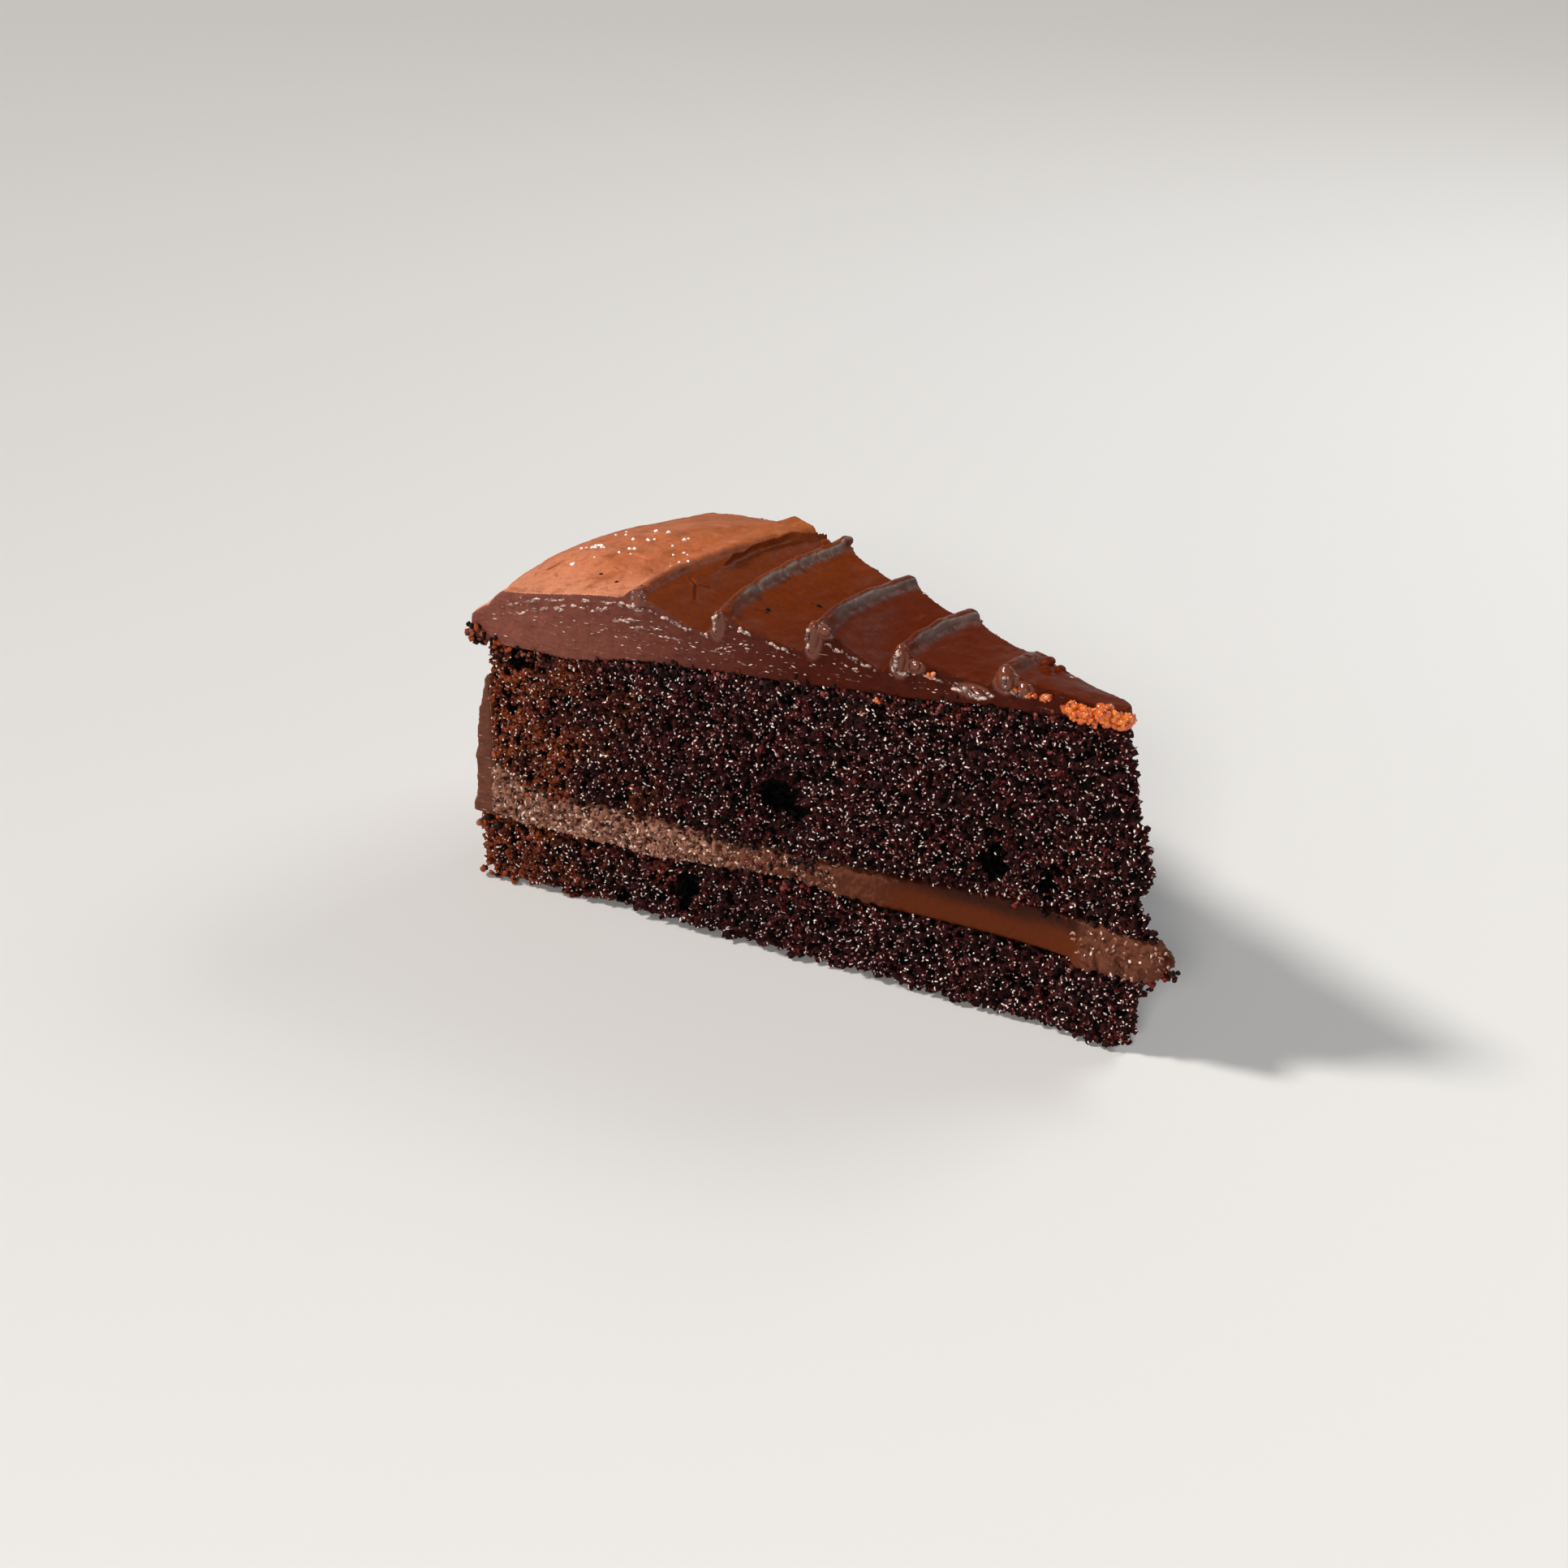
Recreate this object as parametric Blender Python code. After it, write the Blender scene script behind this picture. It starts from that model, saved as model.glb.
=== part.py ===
"""A slice of chocolate layer cake: two sponges, the filling between them, the icing on top with its
five combed lips and a few toffee crumbs, and the coat of icing down the rim.

The slice is modelled in polar form about the middle of the whole cake. A point is given by its
distance from that middle, by its side (-1 on the near cut, +1 on the far cut) and by its height.
At the end everything is moved so that the origin is under the middle of the slice, on its base.
"""

import math
import random

import bmesh
import bpy
from mathutils import Vector, noise

MM = 0.001

# The whole cake and the wedge cut from it.
HALF_ANGLE = math.radians(15)
SPONGE_RADIUS = 124.3 * MM
SKIRT_RADIUS = 128.2 * MM
RIM_EDGE_NEAR = 127.2 * MM
RIM_EDGE_FAR = 129.3 * MM
GAP = 0.3 * MM

# The point of the wedge is blunt, and leans out lower down, most of all at the filling.
NOSE_HALF_WIDTH = 1.7 * MM
NOSE_LENGTH = 3 * MM
NOSE_BLUNTNESS = 0.45
TIP_BLEND = 14 * MM
TIP_REACH = (
    (0, -1.0), (4, -3.2), (10, -3.5), (14.6, -5.3), (19.6, -9.2), (22.9, -7.2),
    (25.8, -3.9), (29, -1.1), (33, -5.1), (37.7, -3.1), (43, -1.3), (48.5, 0.6), (54, 2.1), (62, 3.8),
)

# Heights of the layers against the distance from the middle, both in mm.
FILLING_FLOOR = (
    (0, 14.8), (20, 15.0), (44, 14.9), (61, 15.9), (75, 14.5), (92, 12.9), (110, 13.6), (130, 12.8),
)
FILLING_TOP = (
    (0, 22.0), (22, 22.7), (45, 21.1), (74, 20.1), (97, 20.3), (115, 20.4), (121, 22.8), (126, 27.5),
)
SPONGE_TOP = ((0, 59.7), (22, 58.6), (45, 56.1), (66, 54.4), (90, 52.8), (107, 49.9), (130, 49.9))

# The base is flat, and broken away a little at the rim and at the tip.
BASE_CHIP_HEIGHT = 2.2 * MM
BASE_CHIP_LENGTH = 7 * MM
SKIRT_TUCK = 2.4 * MM
SKIRT_TUCK_HEIGHT = 5 * MM

# Icing: an outer ring with a shoulder, then lips that step down towards the middle.
# Pairs are for the near and the far cut.
RING_HEIGHT = (64.4 * MM, 63.6 * MM)
SHOULDER_START = (107 * MM, 92 * MM)
SHOULDER_DROP = (10.7 * MM, 7.6 * MM)
SHOULDER_POWER = (1.8, 1.05)
SLOPE_LATENESS = 2.6
SHOULDER_FULLNESS = 0.33
ICING_TIP_HEIGHT = 61.6 * MM
ICING_LEAST = 1.2
# The ring droops at the near cut, to this height against the distance from the middle, both in mm.
RING_NEAR_EDGE = ((90, 63.2), (96, 63.0), (120, 59.6), (123.4, 56.3), (128, 53.4))
RING_DROOP_SHARE = 0.3
# Each lip, in mm: its distance from the middle, then the heights of its foot, of its crest and of the
# shelf below it, each as a pair.
LIPS = (
    ((92.8, 94.4), (63.0, 63.9), (64.9, 63.8), (63.3, 62.0)),
    ((75.3, 83.0), (59.6, 61.2), (64.6, 64.4), (62.5, 62.4)),
    ((57.0, 62.3), (60.2, 61.4), (66.0, 64.2), (63.3, 62.0)),
    ((42.0, 44.5), (59.6, 61.2), (64.8, 63.8), (62.7, 61.6)),
    ((23.6, 25.0), (61.0, 61.4), (65.0, 62.4), (63.1, 61.4)),
)
FADE_POWER = 1.6
FAR_FOOT_STRETCH = 0.8
LIP_SWAY = 0.5
LIP_SWELL = 0.35
# Across a lip, rim side first: the offset from its crest in mm, and the share of its rise.
LIP_SECTION = (
    (3.0, 0.0), (1.9, 0.22), (0.9, 0.72), (0.2, 1.0), (-0.8, 0.93),
    (-0.7, 0.6), (-1.2, 0.36), (-2.1, 0.13), (-3.4, 0.0),
)
CREST_INDEX = 3
SCALLOP_STEPS = 3
SCALLOP_HOLLOW = 0.2 * MM
RING_STEPS = 11
RING_SPACING = 0.8

# The coat of icing on the rim, whose top edge is broken off at the near corner.
COAT_PROFILE = ((12, 2.0), (15, 1.6), (19, 0.6), (24, 0.4), (32, -0.2), (40, -0.9), (50, 0.0))
COAT_BREAK_HEIGHT = 42 * MM
COAT_BREAK_SIDE = -0.8
COAT_BREAK_BLEND = 0.25

# Relief as (height, scale) in mm: crags on the cut faces, and the hand's unevenness on the rest.
SPONGE_COARSE = (0.9, 9)
SPONGE_FINE = (0.75, 2.3)
SPONGE_END = (1.5, 4)
FILLING_ROUGH = (1.1, 4)
COAT_RIM = (0.45, 6)
COAT_CUT = (0.3, 5)
ICING_COARSE = (0.45, 7)
ICING_FINE = (0.3, 2)
LAYER_WAVE = (0.5, 21)
SIDE_SWAY = 1.3

# The larger holes in the near cut: distance, height, radius, depth in mm.
HOLE_STEEPNESS = 1.2
HOLES = (
    (64, 32.2, 4.0, 3.4), (24, 30.0, 3.2, 2.8), (13.6, 30.0, 2.2, 1.6), (83, 8.2, 3.0, 2.6),
    (97, 3.6, 2.6, 2.0), (118, 47.5, 3.4, 3.2), (123, 10.5, 2.6, 2.0),
)

# The filling is scraped back between two distances, to a depth, and smeared out at the tip, to a height.
SCRAPE = (8 * MM, 47 * MM, 1.2 * MM)
SCRAPE_BLEND = 6 * MM
SMEAR = (6 * MM, 0.9 * MM)
SMEAR_BLEND = 8 * MM

# Toffee crumbs pressed into the icing's near edge, largest at the tip.
CRUMB_COUNT = 15
CRUMB_SPAN = (34, 4.5)
CRUMB_RADIUS = (0.95, 1.9)
CRUMB_FINER_FROM = 1.3 * MM
CRUMB_ROUGHNESS = (0.4, 1.1)
CRUMB_SEED = 7

# Cells of each block: along the slice, across it, and up.
SPONGE_CELLS = (46, 6, 11)
BASE_CELLS = (46, 6, 5)
FILLING_CELLS = (46, 6, 3)
COAT_CELLS = (2, 6, 10)
ICING_ACROSS = 9
ICING_LEVELS = 4

COLOURS = {
    "lower_sponge": (0.035, 0.016, 0.013, 0.75),
    "filling": (0.13, 0.055, 0.032, 0.5),
    "upper_sponge": (0.032, 0.014, 0.012, 0.75),
    "side_icing": (0.15, 0.06, 0.038, 0.5),
    "icing": (0.2, 0.08, 0.045, 0.42),
}


def ease(value):
    value = min(max(value, 0), 1)
    return value * value * (3 - 2 * value)


def mix(start, end, share):
    return start + (end - start) * share


def eased_through(points, at):
    """The value at a place, half eased between the two points beside it. Points and result are in mm."""
    if at <= points[0][0]:
        return points[0][1]
    for (low, start), (high, end) in zip(points, points[1:]):
        if at <= high:
            share = (at - low) / (high - low)
            return mix(start, end, (share + ease(share)) / 2)
    return points[-1][1]


def layer_height(points, distance, side):
    """The height of a boundary between layers, with the slight waves of a spread by hand."""
    rise, length = LAYER_WAVE
    wave = rise * noise.noise(Vector((distance / MM / length, side * SIDE_SWAY, points[0][1])))
    return (eased_through(points, distance / MM) + wave) * MM


def far_share(side):
    """0 at the near cut and 1 at the far cut."""
    return (side + 1) / 2


def place(distance, side, height):
    """The point of the slice at this distance from the middle, side and height."""
    tip = eased_through(TIP_REACH, height / MM) * MM
    reach = distance + tip * (1 - ease(distance / TIP_BLEND))
    straight = reach * math.sin(HALF_ANGLE)
    half = 0.5 * (straight + math.sqrt(straight * straight + 4 * NOSE_HALF_WIDTH**2))
    left = 1 - min(distance / NOSE_LENGTH, 1)
    half *= mix(NOSE_BLUNTNESS, 1, math.sqrt(1 - left * left))
    turn = HALF_ANGLE * side
    return Vector((-reach * math.cos(turn), half * math.sin(turn) / math.sin(HALF_ANGLE), height))


def relief(point, size, seed):
    """How far a torn or hand spread surface stands out at a point. Size is (height, scale) in mm."""
    height, scale = size
    return height * MM * noise.noise(point / (scale * MM) + Vector((seed, 2 * seed, 3 * seed)))


def on_cut(side):
    return abs(side) > 0.99


def at_rim(cell):
    """Whether a point of the unit block is on its rim end."""
    return cell.x > 0.49


def hole_depth(distance, height):
    depth = 0
    for at, up, radius, deep in HOLES:
        away = math.hypot(distance / MM - at, height / MM - up) / radius
        depth = max(depth, deep * math.exp(-HOLE_STEEPNESS * away**2))
    return depth * MM


def block(along, across, levels):
    """A unit cube cut into cells, whose points are then moved into place."""
    bm = bmesh.new()
    bmesh.ops.create_cube(bm, size=1)
    for axis, cells in enumerate((along, across, levels)):
        edges = [edge for edge in bm.edges if abs((edge.verts[0].co - edge.verts[1].co)[axis]) > 0.5]
        bmesh.ops.subdivide_edges(bm, edges=edges, cuts=cells - 1, use_grid_fill=True)
    return bm


def finish(bm, name, collection):
    """Turns the block into a named object with its own material."""
    bmesh.ops.recalc_face_normals(bm, faces=bm.faces)
    mesh = bpy.data.meshes.new(name)
    bm.to_mesh(mesh)
    bm.free()
    mesh.shade_smooth()
    mesh.set_sharp_from_angle(angle=math.radians(50))
    thing = bpy.data.objects.new(name, mesh)
    collection.objects.link(thing)
    red, green, blue, roughness = COLOURS[name]
    material = bpy.data.materials.new(name)
    material.use_nodes = True
    shader = material.node_tree.nodes["Principled BSDF"]
    shader.inputs["Base Color"].default_value = (red, green, blue, 1)
    shader.inputs["Roughness"].default_value = roughness
    shader.inputs["Metallic"].default_value = 0
    mesh.materials.append(material)
    return thing


def push_out(point, side, amount):
    """Moves a point of a cut face straight out of the cut."""
    return point + Vector((math.sin(HALF_ANGLE), side * math.cos(HALF_ANGLE), 0)) * amount


def crumb_relief(point, distance, height, side, seed):
    """How far a point of a sponge's cut face stands out of the cut."""
    amount = relief(point, SPONGE_COARSE, seed) + relief(point, SPONGE_FINE, seed + 5)
    return amount - (hole_depth(distance, height) if side < 0 else 0)


def sponge(name, cells, radius, floor, ceiling, bare_rim, seed, collection):
    """A layer of cake between two heights, with torn cut faces, a rough tip and, where bare, a rough rim."""
    bm = block(*cells)
    for vert in bm.verts:
        distance = (vert.co.x + 0.5) * radius
        side = 2 * vert.co.y
        up = vert.co.z + 0.5
        low, high = floor(distance, side), ceiling(distance, side)
        height = mix(low, high, up)
        point = place(distance, side, height)
        if on_cut(side):
            point = push_out(point, side, crumb_relief(point, distance, height, side, seed))
        elif distance == 0 or (at_rim(vert.co) and bare_rim):
            point.x += relief(point, SPONGE_END, seed + 9)
        vert.co = point
    return finish(bm, name, collection)


def base_height(distance, side):
    """Flat, except where the rim's lower edge has broken away."""
    return BASE_CHIP_HEIGHT * ease((distance - SKIRT_RADIUS + BASE_CHIP_LENGTH) / BASE_CHIP_LENGTH)


def lower_sponge(collection):
    thing = sponge(
        "lower_sponge", BASE_CELLS, SKIRT_RADIUS, base_height,
        lambda distance, side: layer_height(FILLING_FLOOR, distance, side), True, 3.1, collection,
    )
    # The broken lower edge tucks in under the rim.
    rim_x = min(vert.co.x for vert in thing.data.vertices)
    for vert in thing.data.vertices:
        near_rim = ease(1 - (vert.co.x - rim_x) / BASE_CHIP_LENGTH)
        low_down = ease(1 - (vert.co.z - BASE_CHIP_HEIGHT) / SKIRT_TUCK_HEIGHT)
        vert.co.x += SKIRT_TUCK * near_rim * low_down
    return thing


def upper_sponge(collection):
    return sponge(
        "upper_sponge", SPONGE_CELLS, SPONGE_RADIUS,
        lambda distance, side: layer_height(FILLING_TOP, distance, side) + GAP,
        lambda distance, side: layer_height(SPONGE_TOP, distance, side), False, 8.7, collection,
    )


def filling_relief(point, distance, up):
    """Scraped back between two distances, smeared out at the tip, rough elsewhere."""
    start, end, depth = SCRAPE
    smear_end, smear_height = SMEAR
    scraped = ease((distance - start) / SCRAPE_BLEND) * ease((end - distance) / SCRAPE_BLEND)
    smeared = ease((smear_end - distance) / SMEAR_BLEND + 0.5)
    belly = math.sin(math.pi * up)
    amount = smear_height * smeared * (0.4 + belly) - depth * scraped * (0.6 + 0.4 * belly)
    return amount + (1 - scraped) * relief(point, FILLING_ROUGH, 1.7)


def filling(collection):
    bm = block(*FILLING_CELLS)
    for vert in bm.verts:
        distance = (vert.co.x + 0.5) * SPONGE_RADIUS
        side = 2 * vert.co.y
        up = vert.co.z + 0.5
        low = layer_height(FILLING_FLOOR, distance, side) + GAP
        high = layer_height(FILLING_TOP, distance, side)
        point = place(distance, side, mix(low, high, up))
        if on_cut(side):
            point = push_out(point, side, filling_relief(point, distance, up))
        vert.co = point
    return finish(bm, "filling", collection)


def side_icing(collection):
    """The coat on the rim, from the lower sponge up to the icing on top."""
    bm = block(*COAT_CELLS)
    for vert in bm.verts:
        side = 2 * vert.co.y
        up = vert.co.z + 0.5
        whole = ease((side - COAT_BREAK_SIDE) / COAT_BREAK_BLEND)
        low = layer_height(FILLING_FLOOR, SKIRT_RADIUS, side) + GAP
        top = layer_height(SPONGE_TOP, SKIRT_RADIUS, side)
        height = mix(low, mix(COAT_BREAK_HEIGHT, top, whole), up)
        edge = mix(RIM_EDGE_NEAR, RIM_EDGE_FAR, far_share(side))
        outer = edge + eased_through(COAT_PROFILE, height / MM) * MM
        inner = SPONGE_RADIUS + GAP
        distance = mix(inner, outer, vert.co.x + 0.5)
        point = place(distance, side, height)
        if at_rim(vert.co):
            point.x -= relief(point, COAT_RIM, 4.4)
        if on_cut(side):
            point = push_out(point, side, relief(point, COAT_CUT, 6.1))
        vert.co = point
    return finish(bm, "side_icing", collection)


def ring_height(distance, share):
    """The outer ring of icing: flat with a round shoulder at the near cut, sloping at the far cut."""
    late = share**SLOPE_LATENESS
    start = mix(*SHOULDER_START, late)
    edge = mix(RIM_EDGE_NEAR, RIM_EDGE_FAR, share)
    fallen = max(distance - start, 0) / (edge - start)
    drop = mix(*SHOULDER_DROP, late) * (1 - SHOULDER_FULLNESS * math.sin(math.pi * share))
    height = mix(*RING_HEIGHT, share) - drop * fallen ** mix(*SHOULDER_POWER, late)
    return mix(eased_through(RING_NEAR_EDGE, distance / MM) * MM, height, ease(share / RING_DROOP_SHARE))


def lip_distance(lip, side):
    near, far = lip[0]
    sway = LIP_SWAY * noise.noise(Vector((side * 1.7, near / 9, 0)))
    return (mix(near, far, far_share(side)) + sway) * MM


def faded(side):
    """0 at the near cut and 1 at the far cut, where the lips fade out."""
    return far_share(side) ** FADE_POWER


def lip_foot(lip, side):
    return lip_distance(lip, side) + LIP_SECTION[0][0] * (1 + FAR_FOOT_STRETCH * faded(side)) * MM


def icing_stations():
    """From the tip to the rim, each a function of side. It gives the distance at the icing's top, the height
    there, and the distance at the icing's floor, which has no undercut.
    """
    stations = []
    inner_lips = list(reversed(LIPS))
    for index, lip in enumerate(inner_lips):
        stations += scallop(inner_lips[index - 1] if index else None, lip)
        stations += lip_stations(lip)
    stations += ring_stations()
    return stations


def lip_stations(lip):
    stations = []
    for index in reversed(range(len(LIP_SECTION))):
        offset, rise = LIP_SECTION[index]
        plain = mix(LIP_SECTION[0][0], LIP_SECTION[-1][0], index / (len(LIP_SECTION) - 1))
        rim_side = index <= CREST_INDEX

        def station(side, offset=offset, rise=rise, plain=plain, rim_side=rim_side):
            fade = faded(side)
            foot, crest, shelf = (mix(*heights, fade) for heights in lip[1:])
            stretch = 1 + FAR_FOOT_STRETCH * fade * rim_side
            swell = LIP_SWELL * noise.noise(Vector((side * 2.3, lip[0][0] / 5, 3))) * rise
            height = mix(foot if rim_side else shelf, crest, rise) + swell
            crest_at = lip_distance(lip, side)
            return crest_at + offset * stretch * MM, height * MM, crest_at + plain * stretch * MM

        stations.append(station)
    return stations


def scallop(lower, upper):
    """The hollow stretch from one lip's foot out to the shelf of the lip above it, or from the tip."""
    stations = []
    steps = SCALLOP_STEPS + 1
    for step in range(0 if lower is None else 1, steps):

        def station(side, share=step / steps):
            end = lip_distance(upper, side) + LIP_SECTION[-1][0] * MM
            end_height = mix(*upper[3], faded(side)) * MM
            if lower is None:
                start, start_height = 0, ICING_TIP_HEIGHT
            else:
                start, start_height = lip_foot(lower, side), mix(*lower[1], faded(side)) * MM
            hollow = SCALLOP_HOLLOW * math.sin(math.pi * share)
            distance = mix(start, end, share)
            return distance, mix(start_height, end_height, share) - hollow, distance

        stations.append(station)
    return stations


def ring_stations():
    stations = []
    for step in range(1, RING_STEPS + 1):

        def station(side, share=step / RING_STEPS):
            outer_share = far_share(side)
            start = lip_foot(LIPS[0], side)
            distance = mix(start, mix(RIM_EDGE_NEAR, RIM_EDGE_FAR, outer_share), share**RING_SPACING)
            return distance, ring_height(distance, outer_share), distance

        stations.append(station)
    return stations


def icing(collection):
    stations = icing_stations()
    along = len(stations) - 1
    bm = block(along, ICING_ACROSS, ICING_LEVELS)
    for vert in bm.verts:
        side = 2 * vert.co.y
        up = vert.co.z + 0.5
        top_distance, top, floor_distance = stations[round((vert.co.x + 0.5) * along)](side)
        low = layer_height(SPONGE_TOP, floor_distance, side) + GAP
        height = mix(low, max(top, low + ICING_LEAST * MM), up)
        point = place(mix(floor_distance, top_distance, up), side, height)
        if on_cut(side) and up > 0:
            point = push_out(point, side, relief(point, ICING_COARSE, 2.2) + relief(point, ICING_FINE, 5.2))
        vert.co = point
    return finish(bm, "icing", collection)


def toffee_crumbs(collection):
    """Rough lumps along the near edge of the icing, just clear of the sponge under it."""
    draw = random.Random(CRUMB_SEED)
    for index in range(CRUMB_COUNT):
        share = index / (CRUMB_COUNT - 1)
        distance = (mix(*CRUMB_SPAN, share) + draw.uniform(-0.5, 0.5)) * MM
        radius = mix(*CRUMB_RADIUS, share) * draw.uniform(0.85, 1.1) * MM
        height = layer_height(SPONGE_TOP, distance, -1) + GAP + radius * 1.15
        centre = push_out(place(distance, -1, height), -1, draw.uniform(0, 0.5) * MM)
        finer = 2 if radius > CRUMB_FINER_FROM else 1
        bpy.ops.mesh.primitive_ico_sphere_add(subdivisions=finer, radius=radius, location=centre)
        crumb = bpy.context.object
        crumb.name = f"toffee_crumb_{index}"
        for vert in crumb.data.vertices:
            vert.co += vert.co * relief(vert.co, CRUMB_ROUGHNESS, index) / MM
        for owner in list(crumb.users_collection):
            owner.objects.unlink(crumb)
        collection.objects.link(crumb)


def fuse(thing, collection):
    """Joins a collection of small pieces to the thing that they lie on, and removes them."""
    union = thing.modifiers.new("crumbs", "BOOLEAN")
    union.operation = "UNION"
    union.operand_type = "COLLECTION"
    union.solver = "MANIFOLD"
    union.collection = collection
    bpy.context.view_layer.objects.active = thing
    bpy.ops.object.modifier_apply(modifier=union.name)
    for piece in list(collection.objects):
        bpy.data.objects.remove(piece)
    bpy.data.collections.remove(collection)


def centre_on_base(things):
    """Moves the slice so that the origin lies under the middle of its box, on its base."""
    points = [vert.co for thing in things for vert in thing.data.vertices]
    low = Vector([min(point[axis] for point in points) for axis in range(3)])
    high = Vector([max(point[axis] for point in points) for axis in range(3)])
    shift = Vector(((low.x + high.x) / 2, (low.y + high.y) / 2, low.z))
    for thing in things:
        for vert in thing.data.vertices:
            vert.co -= shift


def main():
    for thing in list(bpy.data.objects):
        bpy.data.objects.remove(thing)
    slice_collection = bpy.data.collections.new("chocolate_cake_slice")
    crumb_collection = bpy.data.collections.new("toffee_crumbs")
    bpy.context.scene.collection.children.link(slice_collection)
    bpy.context.scene.collection.children.link(crumb_collection)
    things = [
        lower_sponge(slice_collection),
        filling(slice_collection),
        upper_sponge(slice_collection),
        side_icing(slice_collection),
        icing(slice_collection),
    ]
    toffee_crumbs(crumb_collection)
    fuse(things[-1], crumb_collection)
    centre_on_base(things)


main()
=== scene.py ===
import math

import bmesh
import bpy
import numpy as np
from mathutils import Matrix, Vector, noise
from mathutils.bvhtree import BVHTree


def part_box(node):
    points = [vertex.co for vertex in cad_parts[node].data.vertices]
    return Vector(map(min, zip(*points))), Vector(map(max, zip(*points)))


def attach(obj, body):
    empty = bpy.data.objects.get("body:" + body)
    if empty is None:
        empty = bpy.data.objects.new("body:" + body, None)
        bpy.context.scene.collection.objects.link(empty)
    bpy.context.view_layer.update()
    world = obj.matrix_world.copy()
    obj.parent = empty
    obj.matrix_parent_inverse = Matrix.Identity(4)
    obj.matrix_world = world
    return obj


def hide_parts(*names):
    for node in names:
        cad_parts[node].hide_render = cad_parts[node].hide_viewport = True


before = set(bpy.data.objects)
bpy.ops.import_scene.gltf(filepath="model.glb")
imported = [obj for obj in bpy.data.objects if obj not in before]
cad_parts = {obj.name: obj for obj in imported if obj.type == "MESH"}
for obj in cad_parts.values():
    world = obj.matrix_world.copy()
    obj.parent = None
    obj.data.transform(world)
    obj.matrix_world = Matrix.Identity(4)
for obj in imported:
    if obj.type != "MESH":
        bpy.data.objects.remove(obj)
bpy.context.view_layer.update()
mm = 0.001
draw = np.random.default_rng(11)

# The whole cake that the slice was cut from, in mm. Distances run from its middle out to the rim.
cake = {
    "halfAngle": math.radians(15),
    "spongeRadius": 124.3,
    "skirtRadius": 128.2,
    "rimEdge": (127.2, 129.3),  # near cut, far cut
    "noseHalfWidth": 1.7,
    "noseLength": 3,
    "noseBluntness": 0.45,
    "tipBlend": 14,
    "tipReach": ((38, -3.1), (43, -1.3), (48.5, 0.6), (54, 2.1), (62, 3.8)),
    "above": 80,  # a height clear of everything
    "spongeTop": ((0, 59.7), (22, 58.6), (45, 56.1), (66, 54.4), (90, 52.8), (107, 49.9), (130, 49.9)),
}
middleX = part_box("filling")[0].x / mm + cake["spongeRadius"]


def ease(value):
    value = np.clip(value, 0, 1)
    return value * value * (3 - 2 * value)


def between(start, end, share):
    return start + (end - start) * share


def through(points, at):
    # half eased from point to point
    places, values = (np.array(row, float) for row in zip(*points))
    at = np.clip(at, places[0], places[-1])
    low = np.clip(np.searchsorted(places, at, side="right") - 1, 0, len(places) - 2)
    share = (at - places[low]) / (places[low + 1] - places[low])
    return between(values[low], values[low + 1], (share + ease(share)) / 2)


def slicePoints(distance, side, height):
    # where a distance from the middle, a side (-1 near cut, 1 far cut) and a height lie in the model
    lean = through(cake["tipReach"], height)
    reach = distance + lean * (1 - ease(distance / cake["tipBlend"]))
    straight = reach * math.sin(cake["halfAngle"])
    half = 0.5 * (straight + np.sqrt(straight**2 + 4 * cake["noseHalfWidth"] ** 2))
    left = 1 - np.clip(distance / cake["noseLength"], 0, 1)
    half = half * between(cake["noseBluntness"], 1, np.sqrt(1 - left**2))
    turn = cake["halfAngle"] * side
    across = half * np.sin(turn) / math.sin(cake["halfAngle"])
    return np.stack([middleX - reach * np.cos(turn), across, height], -1) * mm


def cutOutward(side):
    # straight out of the near cut (-1) or the far cut (1)
    return Vector((math.sin(cake["halfAngle"]), side * math.cos(cake["halfAngle"]), 0))


def only(piece):
    bpy.ops.object.select_all(action="DESELECT")
    piece.select_set(True)
    bpy.context.view_layer.objects.active = piece


def joined(pieces, name):
    bpy.ops.object.select_all(action="DESELECT")
    for piece in pieces:
        piece.select_set(True)
    bpy.context.view_layer.objects.active = pieces[0]
    bpy.ops.object.join()
    whole = bpy.context.object
    whole.name = name
    whole.data.name = name
    return whole


def modify(piece, kind, **settings):
    modifier = piece.modifiers.new(kind.lower(), kind)
    for key, value in settings.items():
        setattr(modifier, key, value)
    only(piece)
    bpy.ops.object.modifier_apply(modifier=modifier.name)


def vertexPlaces(piece):
    places = np.empty(len(piece.data.vertices) * 3)
    piece.data.vertices.foreach_get("co", places)
    return places.reshape(-1, 3)


def moveVertices(piece, places):
    piece.data.vertices.foreach_set("co", places.ravel())
    piece.data.update()


def copyOfNode(node, name):
    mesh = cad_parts[node].data.copy()
    mesh.materials.clear()
    piece = bpy.data.objects.new(name, mesh)
    bpy.context.scene.collection.objects.link(piece)
    only(piece)
    bpy.ops.object.mode_set(mode="EDIT")
    bpy.ops.mesh.select_all(action="SELECT")
    bpy.ops.mesh.remove_doubles(threshold=0.001 * mm)
    bpy.ops.object.mode_set(mode="OBJECT")
    return piece


def roughen(piece, name, size, height, kind="CLOUDS", middle=0.5, group="", stretch=None, **look):
    # size and height in mm; stretch lengthens the pattern along X, Y and Z
    texture = bpy.data.textures.new(name, kind)
    texture.noise_scale = size * mm
    for key, value in look.items():
        setattr(texture, key, value)
    settings = {"texture": texture, "strength": height * mm, "mid_level": middle, "vertex_group": group}
    if stretch is None:
        modify(piece, "DISPLACE", texture_coords="LOCAL", **settings)
        return
    bpy.ops.object.empty_add()
    guide = bpy.context.object
    guide.scale = stretch
    bpy.context.view_layer.update()
    modify(piece, "DISPLACE", texture_coords="OBJECT", texture_coords_object=guide, **settings)
    bpy.data.objects.remove(guide)


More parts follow.
